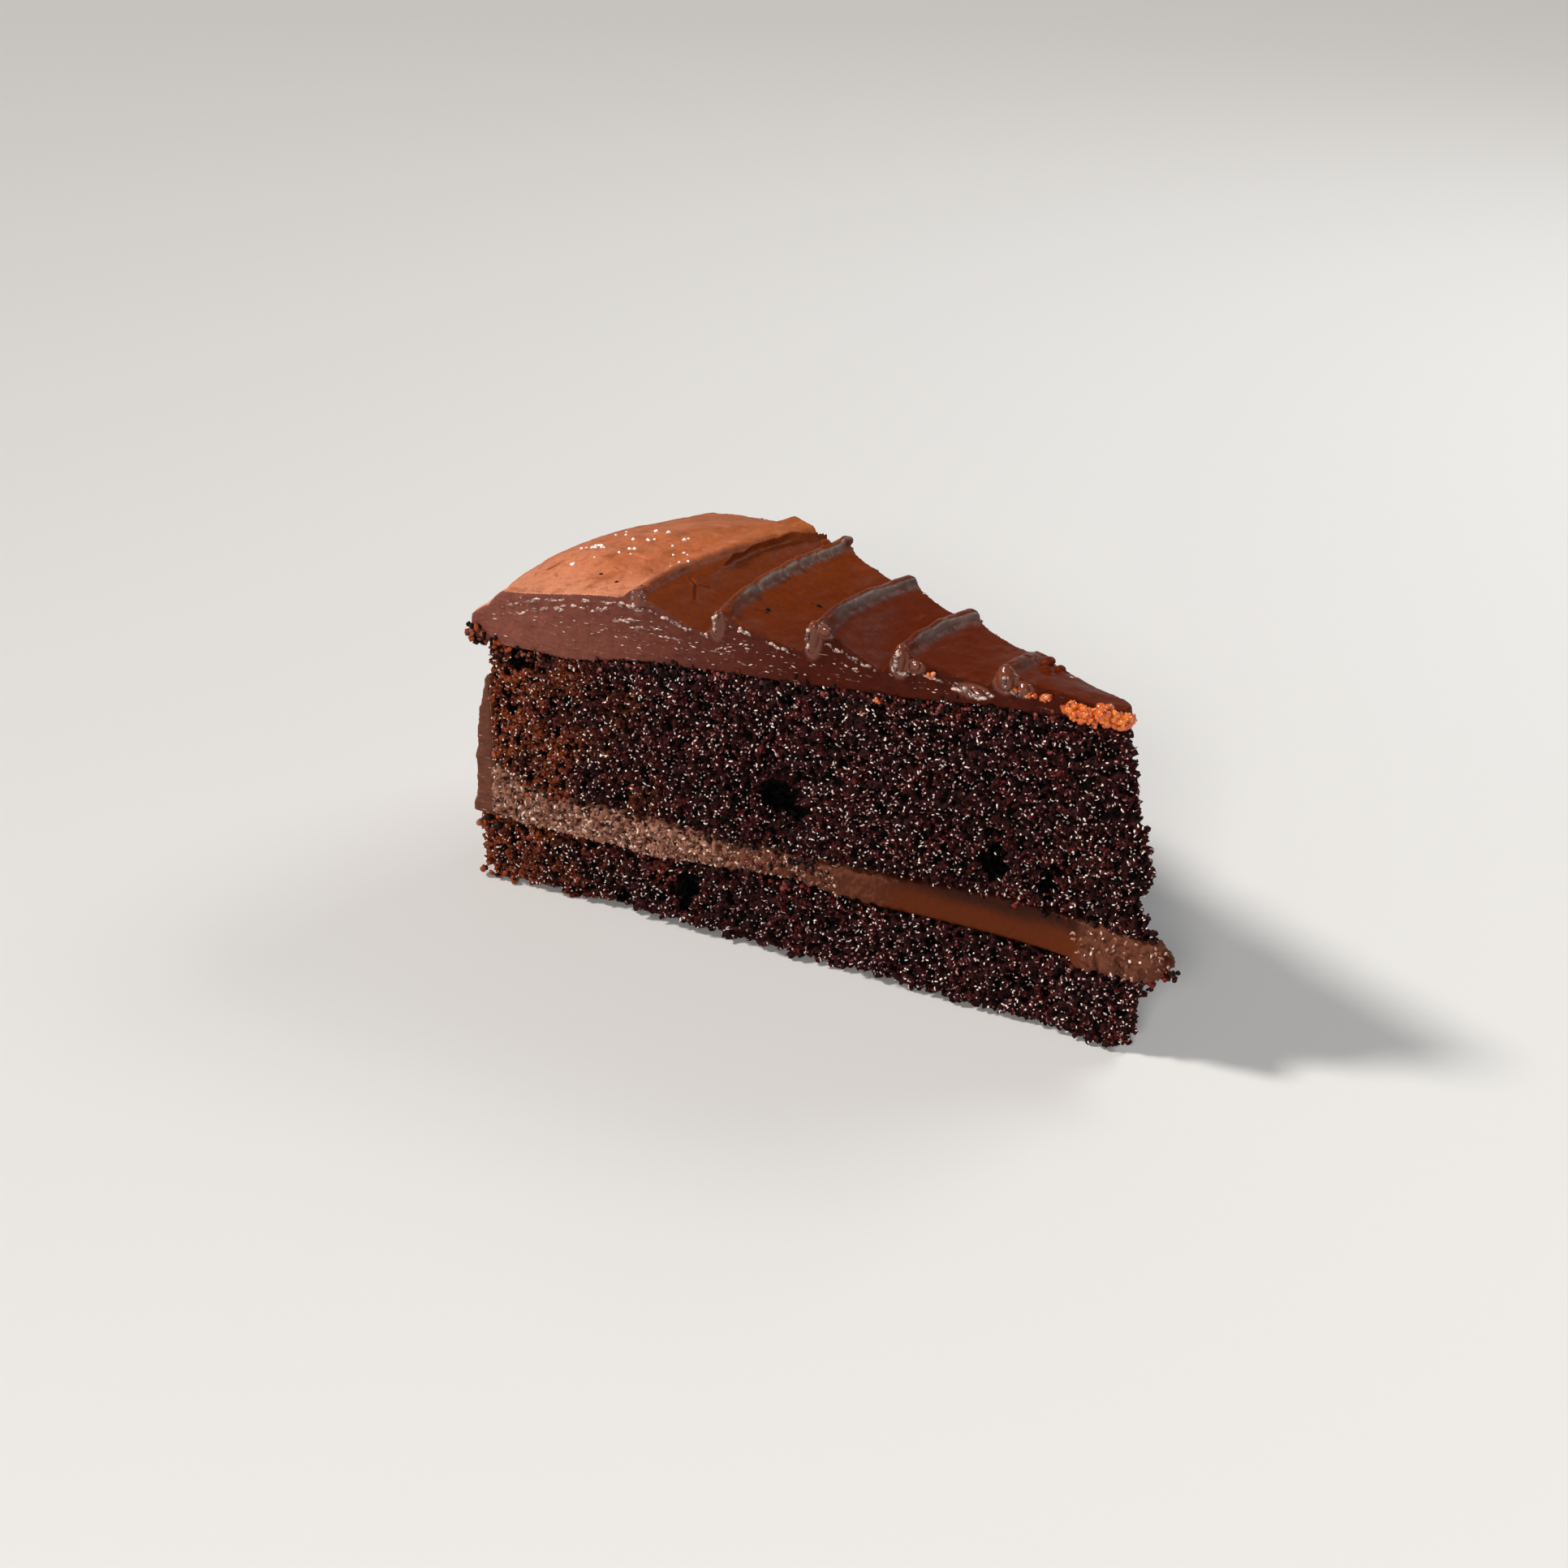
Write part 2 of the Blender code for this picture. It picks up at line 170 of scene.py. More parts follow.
def keptAs(piece, name, values):
    # a value for each point, which a finish can read
    kept = piece.data.attributes.get(name) or piece.data.attributes.new(name, "FLOAT", "POINT")
    kept.data.foreach_set("value", np.ascontiguousarray(values, np.float32))


def weighted(piece, name, weights):
    group = piece.vertex_groups.new(name=name)
    levels = 10
    for level in range(1, levels + 1):
        chosen = np.flatnonzero(np.round(weights * levels) == level)
        group.add(chosen.tolist(), level / levels, "REPLACE")


def outwardAt(piece):
    normals = np.empty(len(piece.data.vertices) * 3)
    piece.data.vertex_normals.foreach_get("vector", normals)
    return normals.reshape(-1, 3)


def fromMiddle(places):
    # distance from the middle of the whole cake, in mm
    return np.hypot(places[:, 0] / mm - middleX, places[:, 1] / mm)


def depthInCut(places):
    # mm behind the nearer cut face
    x, y = places[:, 0] / mm - middleX, np.abs(places[:, 1] / mm)
    straight = -x * math.tan(cake["halfAngle"])
    half = 0.5 * (straight + np.sqrt(straight**2 + 4 * cake["noseHalfWidth"] ** 2))
    return (half - y) * math.cos(cake["halfAngle"])


def lump(place, radii, lean=0):
    # radii in mm along the slice, out of the cut and up; lean in degrees towards the tip
    bpy.ops.object.select_all(action="DESELECT")
    bpy.ops.mesh.primitive_uv_sphere_add(segments=24, ring_count=14, radius=1)
    piece = bpy.context.object
    bpy.ops.object.mode_set(mode="EDIT")
    bpy.ops.mesh.select_all(action="SELECT")
    bpy.ops.transform.resize(value=[radius * mm for radius in radii], center_override=(0, 0, 0))
    bpy.ops.transform.rotate(value=-math.radians(lean), orient_axis="Y", center_override=(0, 0, 0))
    bpy.ops.transform.rotate(value=cake["halfAngle"], orient_axis="Z", center_override=(0, 0, 0))
    bpy.ops.transform.translate(value=place)
    bpy.ops.object.mode_set(mode="OBJECT")
    return piece


def onCut(distance, height, outward, side=-1):
    # a place on a cut face, moved out of it
    return Vector(slicePoints(distance, side, height)) + cutOutward(side) * outward * mm


def awayFrom(places, lumps, grown):
    # distance from the nearest lump's middle, where 1 is its surface with its radii grown by some mm
    nearest = np.full(len(places), np.inf)
    for distance, height, radii, _ in lumps:
        middle = np.array(onCut(distance, height, 0)) / mm
        away = np.linalg.norm((places / mm - middle) / (np.array(radii) + grown), axis=1)
        nearest = np.minimum(nearest, away)
    return nearest


def wander(x, y, z):
    # an uneven value in three octaves
    return noise.fractal(Vector((x, y, z)), 1, 2, 3)


def model(name, subdivisions, lumpiness, triangles):
    # a rough ball 2 mm across, from which many are copied
    bpy.ops.object.select_all(action="DESELECT")
    bpy.ops.mesh.primitive_ico_sphere_add(subdivisions=subdivisions, radius=mm)
    piece = bpy.context.object
    piece.name = name
    roughen(piece, name, 0.9, lumpiness, noise_depth=1)
    thinnedTo(piece, triangles)
    return piece


def randomTurns(count):
    four = draw.normal(size=(count, 4))
    w, x, y, z = (four / np.linalg.norm(four, axis=1, keepdims=True)).T
    rows = (
        (1 - 2 * (y * y + z * z), 2 * (x * y - w * z), 2 * (x * z + w * y)),
        (2 * (x * y + w * z), 1 - 2 * (x * x + z * z), 2 * (y * z - w * x)),
        (2 * (x * z - w * y), 2 * (y * z + w * x), 1 - 2 * (x * x + y * y)),
    )
    return np.array([[column for column in row] for row in rows]).transpose(2, 0, 1)


def copiesOf(shape, name, places, turns, sizes, tones):
    # one mesh with a turned, stretched copy of the model at each place, and a tone kept for each
    places, sizes = np.array(places), np.array(sizes)
    points = vertexPlaces(shape)
    corners = np.array([face.vertices[:] for face in shape.data.polygons])
    made = np.einsum("nij,nvj->nvi", turns, points[None] * sizes[:, None]) + places[:, None]
    faces = corners[None] + len(points) * np.arange(len(places))[:, None, None]
    mesh = bpy.data.meshes.new(name)
    mesh.from_pydata(made.reshape(-1, 3), [], faces.reshape(-1, corners.shape[1]).tolist())
    piece = bpy.data.objects.new(name, mesh)
    bpy.context.scene.collection.objects.link(piece)
    keptAs(piece, "tone", np.repeat(tones, len(points)))
    bpy.data.objects.remove(shape)
    only(piece)
    bpy.ops.object.shade_smooth()
    return piece


def turnedCopies(shape, name, places, sizes, tones=None):
    # copies turned at random, with random tones where none are given
    turns = randomTurns(len(places))
    tones = draw.random(len(places)) if tones is None else tones
    return copiesOf(shape, name, places, turns, sizes, tones)


def treeOf(piece):
    return BVHTree.FromObject(piece, bpy.context.evaluated_depsgraph_get())


def firstHit(trees, start, way):
    # where a straight line meets the first surface: place, outward direction, which tree, how far on
    best = None
    for index, tree in enumerate(trees):
        place, normal, _, length = tree.ray_cast(Vector(start), way)
        if place is not None and (best is None or length < best[3]):
            best = (place, normal, index, length)
    return best


def pulledBlock(name, along, across, levels):
    # a unit block from a grid pulled up, with its walls cut into levels
    bpy.ops.object.select_all(action="DESELECT")
    bpy.ops.mesh.primitive_grid_add(x_subdivisions=along, y_subdivisions=across, size=1)
    piece = bpy.context.object
    piece.name = name
    bpy.ops.object.mode_set(mode="EDIT")
    bpy.ops.mesh.select_all(action="SELECT")
    bpy.ops.mesh.extrude_region_move(TRANSFORM_OT_translate={"value": (0, 0, 1)})
    bpy.ops.mesh.select_all(action="DESELECT")
    bpy.ops.mesh.select_mode(type="EDGE")
    shape = bmesh.from_edit_mesh(piece.data)
    for edge in shape.edges:
        edge.select = abs(edge.verts[0].co.z - edge.verts[1].co.z) > 0.5
    bmesh.update_edit_mesh(piece.data)
    bpy.ops.mesh.subdivide(number_cuts=levels - 1)
    bpy.ops.object.mode_set(mode="OBJECT")
    return piece


def facedOut(piece):
    only(piece)
    bpy.ops.object.mode_set(mode="EDIT")
    bpy.ops.mesh.select_all(action="SELECT")
    bpy.ops.mesh.normals_make_consistent(inside=False)
    bpy.ops.object.mode_set(mode="OBJECT")


def thinnedTo(piece, triangles):
    # flat stretches lose their points first
    now = sum(len(face.vertices) - 2 for face in piece.data.polygons)
    if now > triangles:
        modify(piece, "DECIMATE", ratio=triangles / now)
    only(piece)
    bpy.ops.object.shade_smooth()


def finished(piece, finish, slot, *nodes):
    piece.data.materials.clear()
    piece.data.materials.append(finish)
    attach(piece, "root")
    if nodes:
        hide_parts(*nodes)


# Frosting on top: an outer ring with a shoulder, then five combed lips that step down towards the tip.
frosting = {
    "ringHeight": (64.4, 63.6),
    "shoulderStart": (107, 92),
    "shoulderDrop": (10.7, 7.6),
    "shoulderPower": (1.8, 1.05),
    "slopeLateness": 2.6,
    "shoulderFullness": 0.33,
    "tipHeight": 61.6,
    "ringNearEdge": ((90, 63.2), (96, 63.0), (120, 59.6), (123.4, 56.3), (128, 53.4)),
    "ringDroop": 0.3,  # share of the ring's width that droops to its near edge
    # distance from the middle, then heights of foot, crest and shelf, each at the near and far cut
    "lips": (
        ((92.8, 94.4), (63.0, 63.9), (64.9, 63.8), (63.3, 62.0)),
        ((75.3, 83.0), (59.6, 61.2), (64.6, 64.4), (62.5, 62.4)),
        ((57.0, 62.3), (60.2, 61.4), (66.0, 64.2), (63.3, 62.0)),
        ((42.0, 44.5), (59.6, 61.2), (64.8, 63.8), (62.7, 61.6)),
        ((23.6, 25.0), (61.0, 61.4), (65.0, 62.4), (63.1, 61.4)),
    ),
    "fadePower": 1.6,
    "farFootStretch": 0.8,
    "sway": (0.5, 1.7),  # mm, waves across the slice
    "swell": (0.35, 2.3),
    # across a lip from its rim side: offset, and share of its rise
    "rollRimSide": ((3.2, -0.01), (2.5, 0.08), (2.0, 0.27), (1.45, 0.62), (0.95, 0.87), (0.35, 1.0)),
    "rollTipSide": (
        (-0.4, 1.03), (-0.95, 0.96), (-1.2, 0.82), (-1.25, 0.64), (-1.55, 0.45),
        (-2.1, 0.27), (-2.9, 0.11), (-3.9, 0.0),
    ),
    "ragged": (0.12, 0.3, 0.14, 0.14, 0.3),  # per lip
    "raggedLength": 2.2,
    "raggedReach": (2, 0.8),  # how far it pushes the upper and the lower part of a lip's tip side
    "scallopSteps": 6,
    "scallopHollow": 0.2,
    "ringSteps": 18,
    "ringSpacing": 0.8,
    "rowLength": 0.3,
    "columns": 170,
    "levels": 24,
    "sink": 0.8,  # into the crumb
    "rowSmoothing": 1.2,
    "voxel": 0.26,
    "triangles": 195000,
    # glossy blocks where the lips end at the near cut: distance, height, radii, lean
    "blocks": (
        (91.8, 63.0, (1.1, 0.8, 1.9), 10),
        (76.3, 61.9, (1.05, 0.9, 2.5), 4),
        (58.2, 62.9, (1.25, 1.0, 3.1), 8),
        (56.0, 64.6, (1.7, 0.9, 0.9), -20),
        (42.3, 62.0, (1.25, 1.0, 2.5), 10),
        (39.6, 61.6, (1.5, 0.7, 0.8), -20),
        (23.6, 62.6, (1.8, 1.0, 1.9), 0),
        (20.5, 61.6, (1.5, 0.8, 1.0), -15),
        (29.0, 59.4, (3.6, 0.7, 0.9), 3),
    ),
    # a thin second fold on the tip side of the first lip
    "fold": {
        "from": -0.1, "to": 1.05, "width": 0.75, "thin": 0.16, "height": (62.6, 64.3), "root": 1.5,
        "route": ((0, 90.3), (0.45, 92.4), (0.75, 92.9), (1, 91.0)),
        "cells": (60, 4, 6),  # along, through, up
        "taper": ((0.15, 0.2), (0.3, 0.25)),  # at each end: share of the length, least share of the size
        "curl": 0.9,  # towards the tip at its top
        "wave": (9, 0.25, 0.4),  # waves in its length, then mm along and up
    },
    # clots on the far ends of the second and the last lip: distance, side, height, radii
    "clots": (
        (82.4, 0.98, 64.5, (1.3, 1.2, 0.8)),
        (83.6, 0.8, 64.6, (0.9, 1.1, 0.6)),
        (20.6, 0.3, 62.3, (1.5, 1.1, 0.7)),
        (22.6, 0.7, 62.7, (1.2, 1.2, 0.7)),
        (20.2, 0.8, 61.9, (0.9, 0.8, 0.6)),
    ),
    "nickedAbove": 59,
    "nickRim": (2, 0.35),  # where it rises beside the nick, in half widths, and its share of the depth
    # cuts and scrapes on top: half width, depth, then points as distance and side
    "nicks": (
        (0.3, 0.9, ((116.3, -0.68), (115.4, -0.58), (114.0, -0.56))),
        (0.3, 0.4, ((90.2, -0.42), (88.2, -0.46), (85.8, -0.62))),
        (0.25, 0.35, ((88.2, -0.46), (86.6, -0.38))),
        (0.3, 0.45, ((104.7, -0.38), (100.1, -0.39), (97.5, -0.30))),
        (0.3, 0.35, ((103.0, -0.60), (99.5, -0.64))),
        (0.3, 0.4, ((73.2, -0.62), (71.0, -0.55))),
        (0.3, 0.35, ((69.0, -0.05), (66.8, 0.0))),
        (0.5, 0.3, ((105.5, -0.72), (103.8, -0.68))),
        (0.5, 0.3, ((100.8, -0.80), (99.0, -0.72))),
        (0.5, 0.35, ((94.6, -0.86), (92.6, -0.84))),
    ),
    "faceSheen": (0, 1, 1, 0.9, 0.3),  # per lip, strength of the grey reflection painted on its tip-side face
    "faceWidth": (0.3, 2.4),  # behind the crest
    "faceBlend": (0.5, 1.4),
    "faceFrom": (-0.85, 0.45),  # side where it starts, blend
    "faceAbove": 58,
    "outerFrom": (121, 5),  # distance, blend
    "rimRounding": 40,
    "cutDepth": 1.6,
    "cutFacing": (0.45, 0.3),  # least, blend
    "glossReach": (0.3, 1.3, 0.3),  # radii grown by, end, blend
    "relief": (
        {"name": "handUneven", "size": 6, "height": 0.45, "noise_depth": 1},
        {"name": "spatulaMarks", "size": 1.6, "height": 0.14, "noise_depth": 2},
        {
            "name": "spatulaRidges", "size": 1.7, "height": 0.5, "noise_depth": 2,
            "group": "outer", "stretch": (4, 4, 0.8),
        },
        {
            "name": "knifeStreaks", "size": 0.7, "height": 0.16, "noise_depth": 2, "contrast": 1.6,
            "group": "cut", "stretch": (3, 3, 0.9),
        },
    ),
}


def lipCrest(index, side):
    near, far = frosting["lips"][index][0]
    sway, waves = frosting["sway"]
    sway *= noise.noise(Vector((side * waves, near / 9, 0)))
    return between(near, far, (side + 1) / 2) + sway


def ringTop(distance, share):
    late = share ** frosting["slopeLateness"]
    start = between(*frosting["shoulderStart"], late)
    edge = between(*cake["rimEdge"], share)
    fallen = max(distance - start, 0) / (edge - start)
    drop = between(*frosting["shoulderDrop"], late)
    drop *= 1 - frosting["shoulderFullness"] * math.sin(math.pi * share)
    power = between(*frosting["shoulderPower"], late)
    height = between(*frosting["ringHeight"], share) - drop * fallen**power
    nearEdge = through(frosting["ringNearEdge"], distance)
    return between(nearEdge, height, ease(share / frosting["ringDroop"]))


def lipSection(index, side):
    # key points of one lip from its tip side to its rim side: distance, height, distance underneath
    (near, far), *heights = frosting["lips"][index]
    fade = ((side + 1) / 2) ** frosting["fadePower"]
    foot, crest, shelf = (between(*pair, fade) for pair in heights)
    crestAt = lipCrest(index, side)
    swell, waves = frosting["swell"]
    swell *= noise.noise(Vector((side * waves, near / 5, 3)))
    width = between(near, far, (side + 1) / 2) * cake["halfAngle"]
    rag = frosting["ragged"][index] * wander(side * width / frosting["raggedLength"], near, 7)
    upper, lower = frosting["raggedReach"]
    stretch = 1 + frosting["farFootStretch"] * fade
    rows = []
    for offset, rise in reversed(frosting["rollTipSide"]):
        reach = offset - rag * (upper if rise > 0.5 else lower)
        rows.append((crestAt + reach, between(shelf, crest, rise) + (swell + rag) * rise))
    for offset, rise in reversed(frosting["rollRimSide"]):
        rows.append((crestAt + offset * stretch, between(foot, crest, rise) + (swell + rag) * rise))
    under = np.linspace(rows[0][0], rows[-1][0], len(rows))
    return [(distance, height, below) for (distance, height), below in zip(rows, under)]


def frostingKeys(side):
    share = (side + 1) / 2
    keys = []
    start, startHeight = 0, frosting["tipHeight"]
    for index in reversed(range(len(frosting["lips"]))):
        section = lipSection(index, side)
        end, endHeight = section[0][:2]
        steps = frosting["scallopSteps"]
        for step in range(1 if keys else 0, steps):
            part = step / steps
            distance = between(start, end, part)
            hollow = frosting["scallopHollow"] * math.sin(math.pi * part)
            keys.append((distance, between(startHeight, endHeight, part) - hollow, distance))
        keys += section
        start, startHeight = section[-1][:2]
    edge = between(*cake["rimEdge"], share)
    for step in range(1, frosting["ringSteps"] + 1):
        distance = between(start, edge, (step / frosting["ringSteps"]) ** frosting["ringSpacing"])
        keys.append((distance, ringTop(distance, share), distance))
    return keys


def softened(rows, width):
    # a bell shaped average along the first axis, with both ends held
    reach = int(3 * width)
    bell = np.exp(-0.5 * (np.arange(-reach, reach + 1) / width) ** 2)
    bell /= bell.sum()
    padded = np.concatenate([2 * rows[:1] - rows[reach:0:-1], rows, 2 * rows[-1:] - rows[-2:-reach - 2:-1]])
    return sum(weight * padded[start:start + len(rows)] for start, weight in enumerate(bell))


def makeFrostingTop():
    sides = np.linspace(-1, 1, frosting["columns"] + 1)
    keys = np.array([frostingKeys(side) for side in sides])
    steps = np.diff(keys[:, :, :2], axis=1)
    lengths = np.hypot(steps[..., 0], steps[..., 1]).mean(0)
    counts = np.maximum(1, np.round(lengths / frosting["rowLength"])).astype(int)
    at = np.concatenate([index + np.arange(count) / count for index, count in enumerate(counts)])
    at = np.append(at, len(counts))
    low = np.minimum(at.astype(int), len(counts) - 1)
    share = (at - low)[:, None, None]
    keys = keys.transpose(1, 0, 2)
    rows = softened(between(keys[low], keys[low + 1], share), frosting["rowSmoothing"])
    piece = pulledBlock("frosting", len(rows) - 1, frosting["columns"], frosting["levels"])
    unit = vertexPlaces(piece)
    row = np.round((unit[:, 0] + 0.5) * (len(rows) - 1)).astype(int)
    column = np.round((unit[:, 1] + 0.5) * frosting["columns"]).astype(int)
    top, height, under = rows[row, column].T
    floor = through(cake["spongeTop"], under) - frosting["sink"]
    up = unit[:, 2]
    places = slicePoints(between(under, top, up), sides[column], between(floor, height, up))
    moveVertices(piece, places)
    facedOut(piece)
    return piece


# The coat of frosting down the rim, broken off at the top of the near corner.
coat = {
    "profile": ((12, 2.0), (15, 1.6), (19, 0.6), (24, 0.4), (32, -0.2), (40, -0.9), (50, 0.0)),
    "floor": 13.3,
    "top": 51.5,
    "breakHeight": 42,
    "breakSide": -0.8,
    "breakBlend": 0.25,
    "ragged": (3.0, 0.1, 9),  # mm up, share of the width, waves
    "lumpy": (0.5, 6, 4),  # mm out, waves across, mm to a wave upwards
    "thinning": (1.3, 9),  # mm, over how many mm below the break
    "sink": 0.6,
    "cells": (2, 150, 90),  # through, across, up
}


def makeCoat():
    piece = pulledBlock("coat", *coat["cells"])
    unit = vertexPlaces(piece)
    side = 2 * unit[:, 1]
    rise, sideways, waves = coat["ragged"]
    ragged = np.array([wander(waves * at, 2, 5) for at in side])
    whole = ease((side - coat["breakSide"] + sideways * ragged) / coat["breakBlend"])
    brink = between(coat["breakHeight"] + rise * ragged, coat["top"], whole)
    height = between(coat["floor"], brink, unit[:, 2])
    outer = between(*cake["rimEdge"], (side + 1) / 2) + through(coat["profile"], height)
    out, waves, length = coat["lumpy"]
    lumpy = np.array([wander(waves * at, up / length, 2) for at, up in zip(side, height)])
    thinning, below = coat["thinning"]
    outer += out * lumpy - thinning * ease((height - brink + below) / below) * (1 - whole)
    inner = cake["spongeRadius"] - coat["sink"]
    moveVertices(piece, slicePoints(between(inner, outer, unit[:, 0] + 0.5), side, height))
    facedOut(piece)
    return piece


def makeFold():
    fold = frosting["fold"]
    piece = pulledBlock("fold", *fold["cells"])
    unit = vertexPlaces(piece)
    along, across, up = unit[:, 0] + 0.5, 2 * unit[:, 1], unit[:, 2]
    waves, sway, rise = fold["wave"]
    wave = np.array([noise.noise(Vector((waves * step, 4, 1))) for step in along])
    (start, startLeast), (end, endLeast) = fold["taper"]
    taper = np.minimum(1, (1 - along) / end + endLeast) * np.minimum(1, along / start + startLeast)
    width = between(fold["width"], fold["thin"], up) * taper
    distance = through(fold["route"], along) + across * width - fold["curl"] * up * taper + sway * wave
    low, unshaded = fold["height"]
    height = between(low - fold["root"], low + (unshaded - low + rise * wave) * taper, up)
    moveVertices(piece, slicePoints(distance, between(fold["from"], fold["to"], along), height))
    facedOut(piece)
    return piece


def pressNicks(piece):
    places = vertexPlaces(piece)
    plan, top = places[:, :2] / mm, places[:, 2] > frosting["nickedAbove"] * mm
    beside, raised = frosting["nickRim"]
    for width, depth, points in frosting["nicks"]:
        line = [slicePoints(distance, side, 63)[:2] / mm for distance, side in points]
        nearest = np.full(len(plan), np.inf)
        for start, end in zip(line, line[1:]):
            run = end - start
            share = np.clip((plan - start) @ run / (run @ run), 0, 1)
            nearest = np.minimum(nearest, np.linalg.norm(plan - start - share[:, None] * run, axis=1))
        groove = np.exp(-((nearest / width) ** 2))
        groove -= raised * np.exp(-(((nearest - beside * width) / width) ** 2))
        places[:, 2] -= depth * mm * groove * top
    moveVertices(piece, places)


def lipSheenFaces(places):
    # 1 on the tip-side faces of the lips, where a grey reflection is painted
    distance = fromMiddle(places)
    side = np.arctan2(places[:, 1] / mm, middleX - places[:, 0] / mm) / cake["halfAngle"]
    start, end = frosting["faceWidth"]
    startBlend, endBlend = frosting["faceBlend"]
    nearEnd, nearBlend = frosting["faceFrom"]
    sides = np.linspace(-1, 1, 81)
    shown = np.zeros(len(places))
    for index, strength in enumerate(frosting["faceSheen"]):
        crest = np.interp(side, sides, [lipCrest(index, at) for at in sides])
        behind = crest - distance
        face = ease((behind - start) / startBlend) * ease((end - behind) / endBlend)
        face = face * ease((side - nearEnd) / nearBlend) * strength
        shown = np.maximum(shown, face)
    return shown * (places[:, 2] > frosting["faceAbove"] * mm)


def onCutFaces(places, outward):
    # 1 on both cut faces, where the surface lies at the cut and faces out of it
    x, y, _ = outward.T
    facing = np.abs(x * math.sin(cake["halfAngle"]) + np.abs(y) * math.cos(cake["halfAngle"]))
    least, blend = frosting["cutFacing"]
    return ease(frosting["cutDepth"] - depthInCut(places)) * ease((facing - least) / blend)


def makeFrosting():
    pieces = [makeFrostingTop(), makeCoat(), makeFold()]
    for distance, height, radii, lean in frosting["blocks"]:
        pieces.append(lump(onCut(distance, height, 0), radii, lean))
    for distance, side, height, radii in frosting["clots"]:
        pieces.append(lump(slicePoints(distance, side, height), radii))
    piece = joined(pieces, "frosting")
    modify(piece, "REMESH", mode="VOXEL", voxel_size=frosting["voxel"] * mm)
    start, blend = frosting["outerFrom"]
    weighted(piece, "outer", ease((fromMiddle(vertexPlaces(piece)) - start) / blend))
    modify(piece, "SMOOTH", factor=0.5, iterations=frosting["rimRounding"], vertex_group="outer")
    pressNicks(piece)
    places = vertexPlaces(piece)
    cutFaces = onCutFaces(places, outwardAt(piece))
    keptAs(piece, "onCut", cutFaces)
    keptAs(piece, "paintedLipSheen", lipSheenFaces(places) * (1 - cutFaces))
    grown, end, blend = frosting["glossReach"]
    keptAs(piece, "glossy", ease((end - awayFrom(places, frosting["blocks"], grown)) / blend))
    weighted(piece, "cut", cutFaces)
    for layer in frosting["relief"]:
        roughen(piece, **layer)
    thinnedTo(piece, frosting["triangles"])
    return piece


# Crumb: coarse clumps, grains and pores on the cut faces, the tip and the bare rim.
crumb = {
    "voxel": 0.3,
    "shownDepth": (3.0, 1.4),  # how deep the relief reaches in from the faces that show
    "relief": (
        {"name": "clumps", "size": 2.6, "height": 0.55, "noise_depth": 1},
        {"name": "grains", "size": 0.9, "height": -0.7, "kind": "VORONOI", "middle": 0.35},
        {
            "name": "pores", "size": 1.2, "height": 1.0, "middle": 1, "noise_depth": 1,
            "contrast": 3.5, "intensity": 1.35,
        },
        {"name": "fine", "size": 0.5, "height": 0.3, "noise_depth": 0},
    ),
    "triangles": {"upperCrumb": 198000, "lowerCrumb": 120000},
    "holeVoxel": 0.35,
    "holeWalls": (2.2, 0.9),  # size, height
    "holesOut": -0.6,  # their middles, out of the cut
    # holes in the near cut: distance, height, radii along, inward and up, lean
    "holes": {
        "upperCrumb": (
            (65.0, 30.6, (3.6, 5.0, 2.4), 12),
            (61.6, 29.4, (2.4, 4.0, 1.6), 0),
            (23.8, 28.4, (2.5, 5.0, 2.4), 0),
            (14.2, 27.8, (1.5, 4.0, 1.9), 0),
            (117.2, 47.2, (1.7, 5.0, 3.1), 20),
            (110.4, 39, (0.9, 2.4, 1.2), 0),
            (98.6, 33.4, (1.1, 1.8, 0.8), 0),
            (46.2, 53.2, (1.6, 2.0, 1.0), 0),
            (31.2, 44, (1.0, 1.6, 0.8), 0),
            (87.5, 27.4, (1.2, 1.8, 0.8), 0),
            (75, 26, (1.0, 1.8, 0.9), 0),
            (52, 41, (0.9, 1.5, 0.9), 0),
        ),
        "lowerCrumb": (
            (83.2, 7.4, (1.5, 4.6, 3.5), -8),
            (97, 2.6, (1.9, 3.6, 1.2), 0),
            (120, 9.5, (1.4, 3.2, 1.2), 0),
            (58, 9.2, (0.9, 1.8, 0.8), 0),
            (35, 6.4, (1.0, 1.8, 0.8), 0),
        ),
    },
    "holeReach": (1.5, 0.5),  # the relief in them: radii grown by, weight
    # painted shade inside them: depth where it starts, blend, radii grown by, end, blend
    "holeShade": (0.5, 0.9, 0.7, 1.3, 0.2),
}


def cutHoles(piece, holes):
    lumps = []
    for distance, height, radii, lean in holes:
        lumps.append(lump(onCut(distance, height, crumb["holesOut"]), radii, lean))
    cutter = joined(lumps, "holes")
    modify(cutter, "REMESH", mode="VOXEL", voxel_size=crumb["holeVoxel"] * mm)
    roughen(cutter, "holeWalls", *crumb["holeWalls"], noise_depth=1)
    modify(piece, "BOOLEAN", operation="DIFFERENCE", solver="EXACT", object=cutter)
    bpy.data.objects.remove(cutter)


def shownWeights(places, holes):
    # 1 on the faces that show, some in the holes, 0 inside the stack
    toRim = cake["skirtRadius"] - fromMiddle(places)
    start, end = crumb["shownDepth"]
    shown = ease((start - np.minimum(depthInCut(places), toRim)) / (start - end))
    grown, weight = crumb["holeReach"]
    return np.maximum(shown, weight * (awayFrom(places, holes, grown) < 1))


def holeShadeShare(places, holes):
    # 1 inside the holes, 0 at their rims: the share of painted shade in them
    start, depthBlend, grown, end, blend = crumb["holeShade"]
    deep = ease((depthInCut(places) - start) / depthBlend)
    return ease((end - awayFrom(places, holes, grown)) / blend) * deep


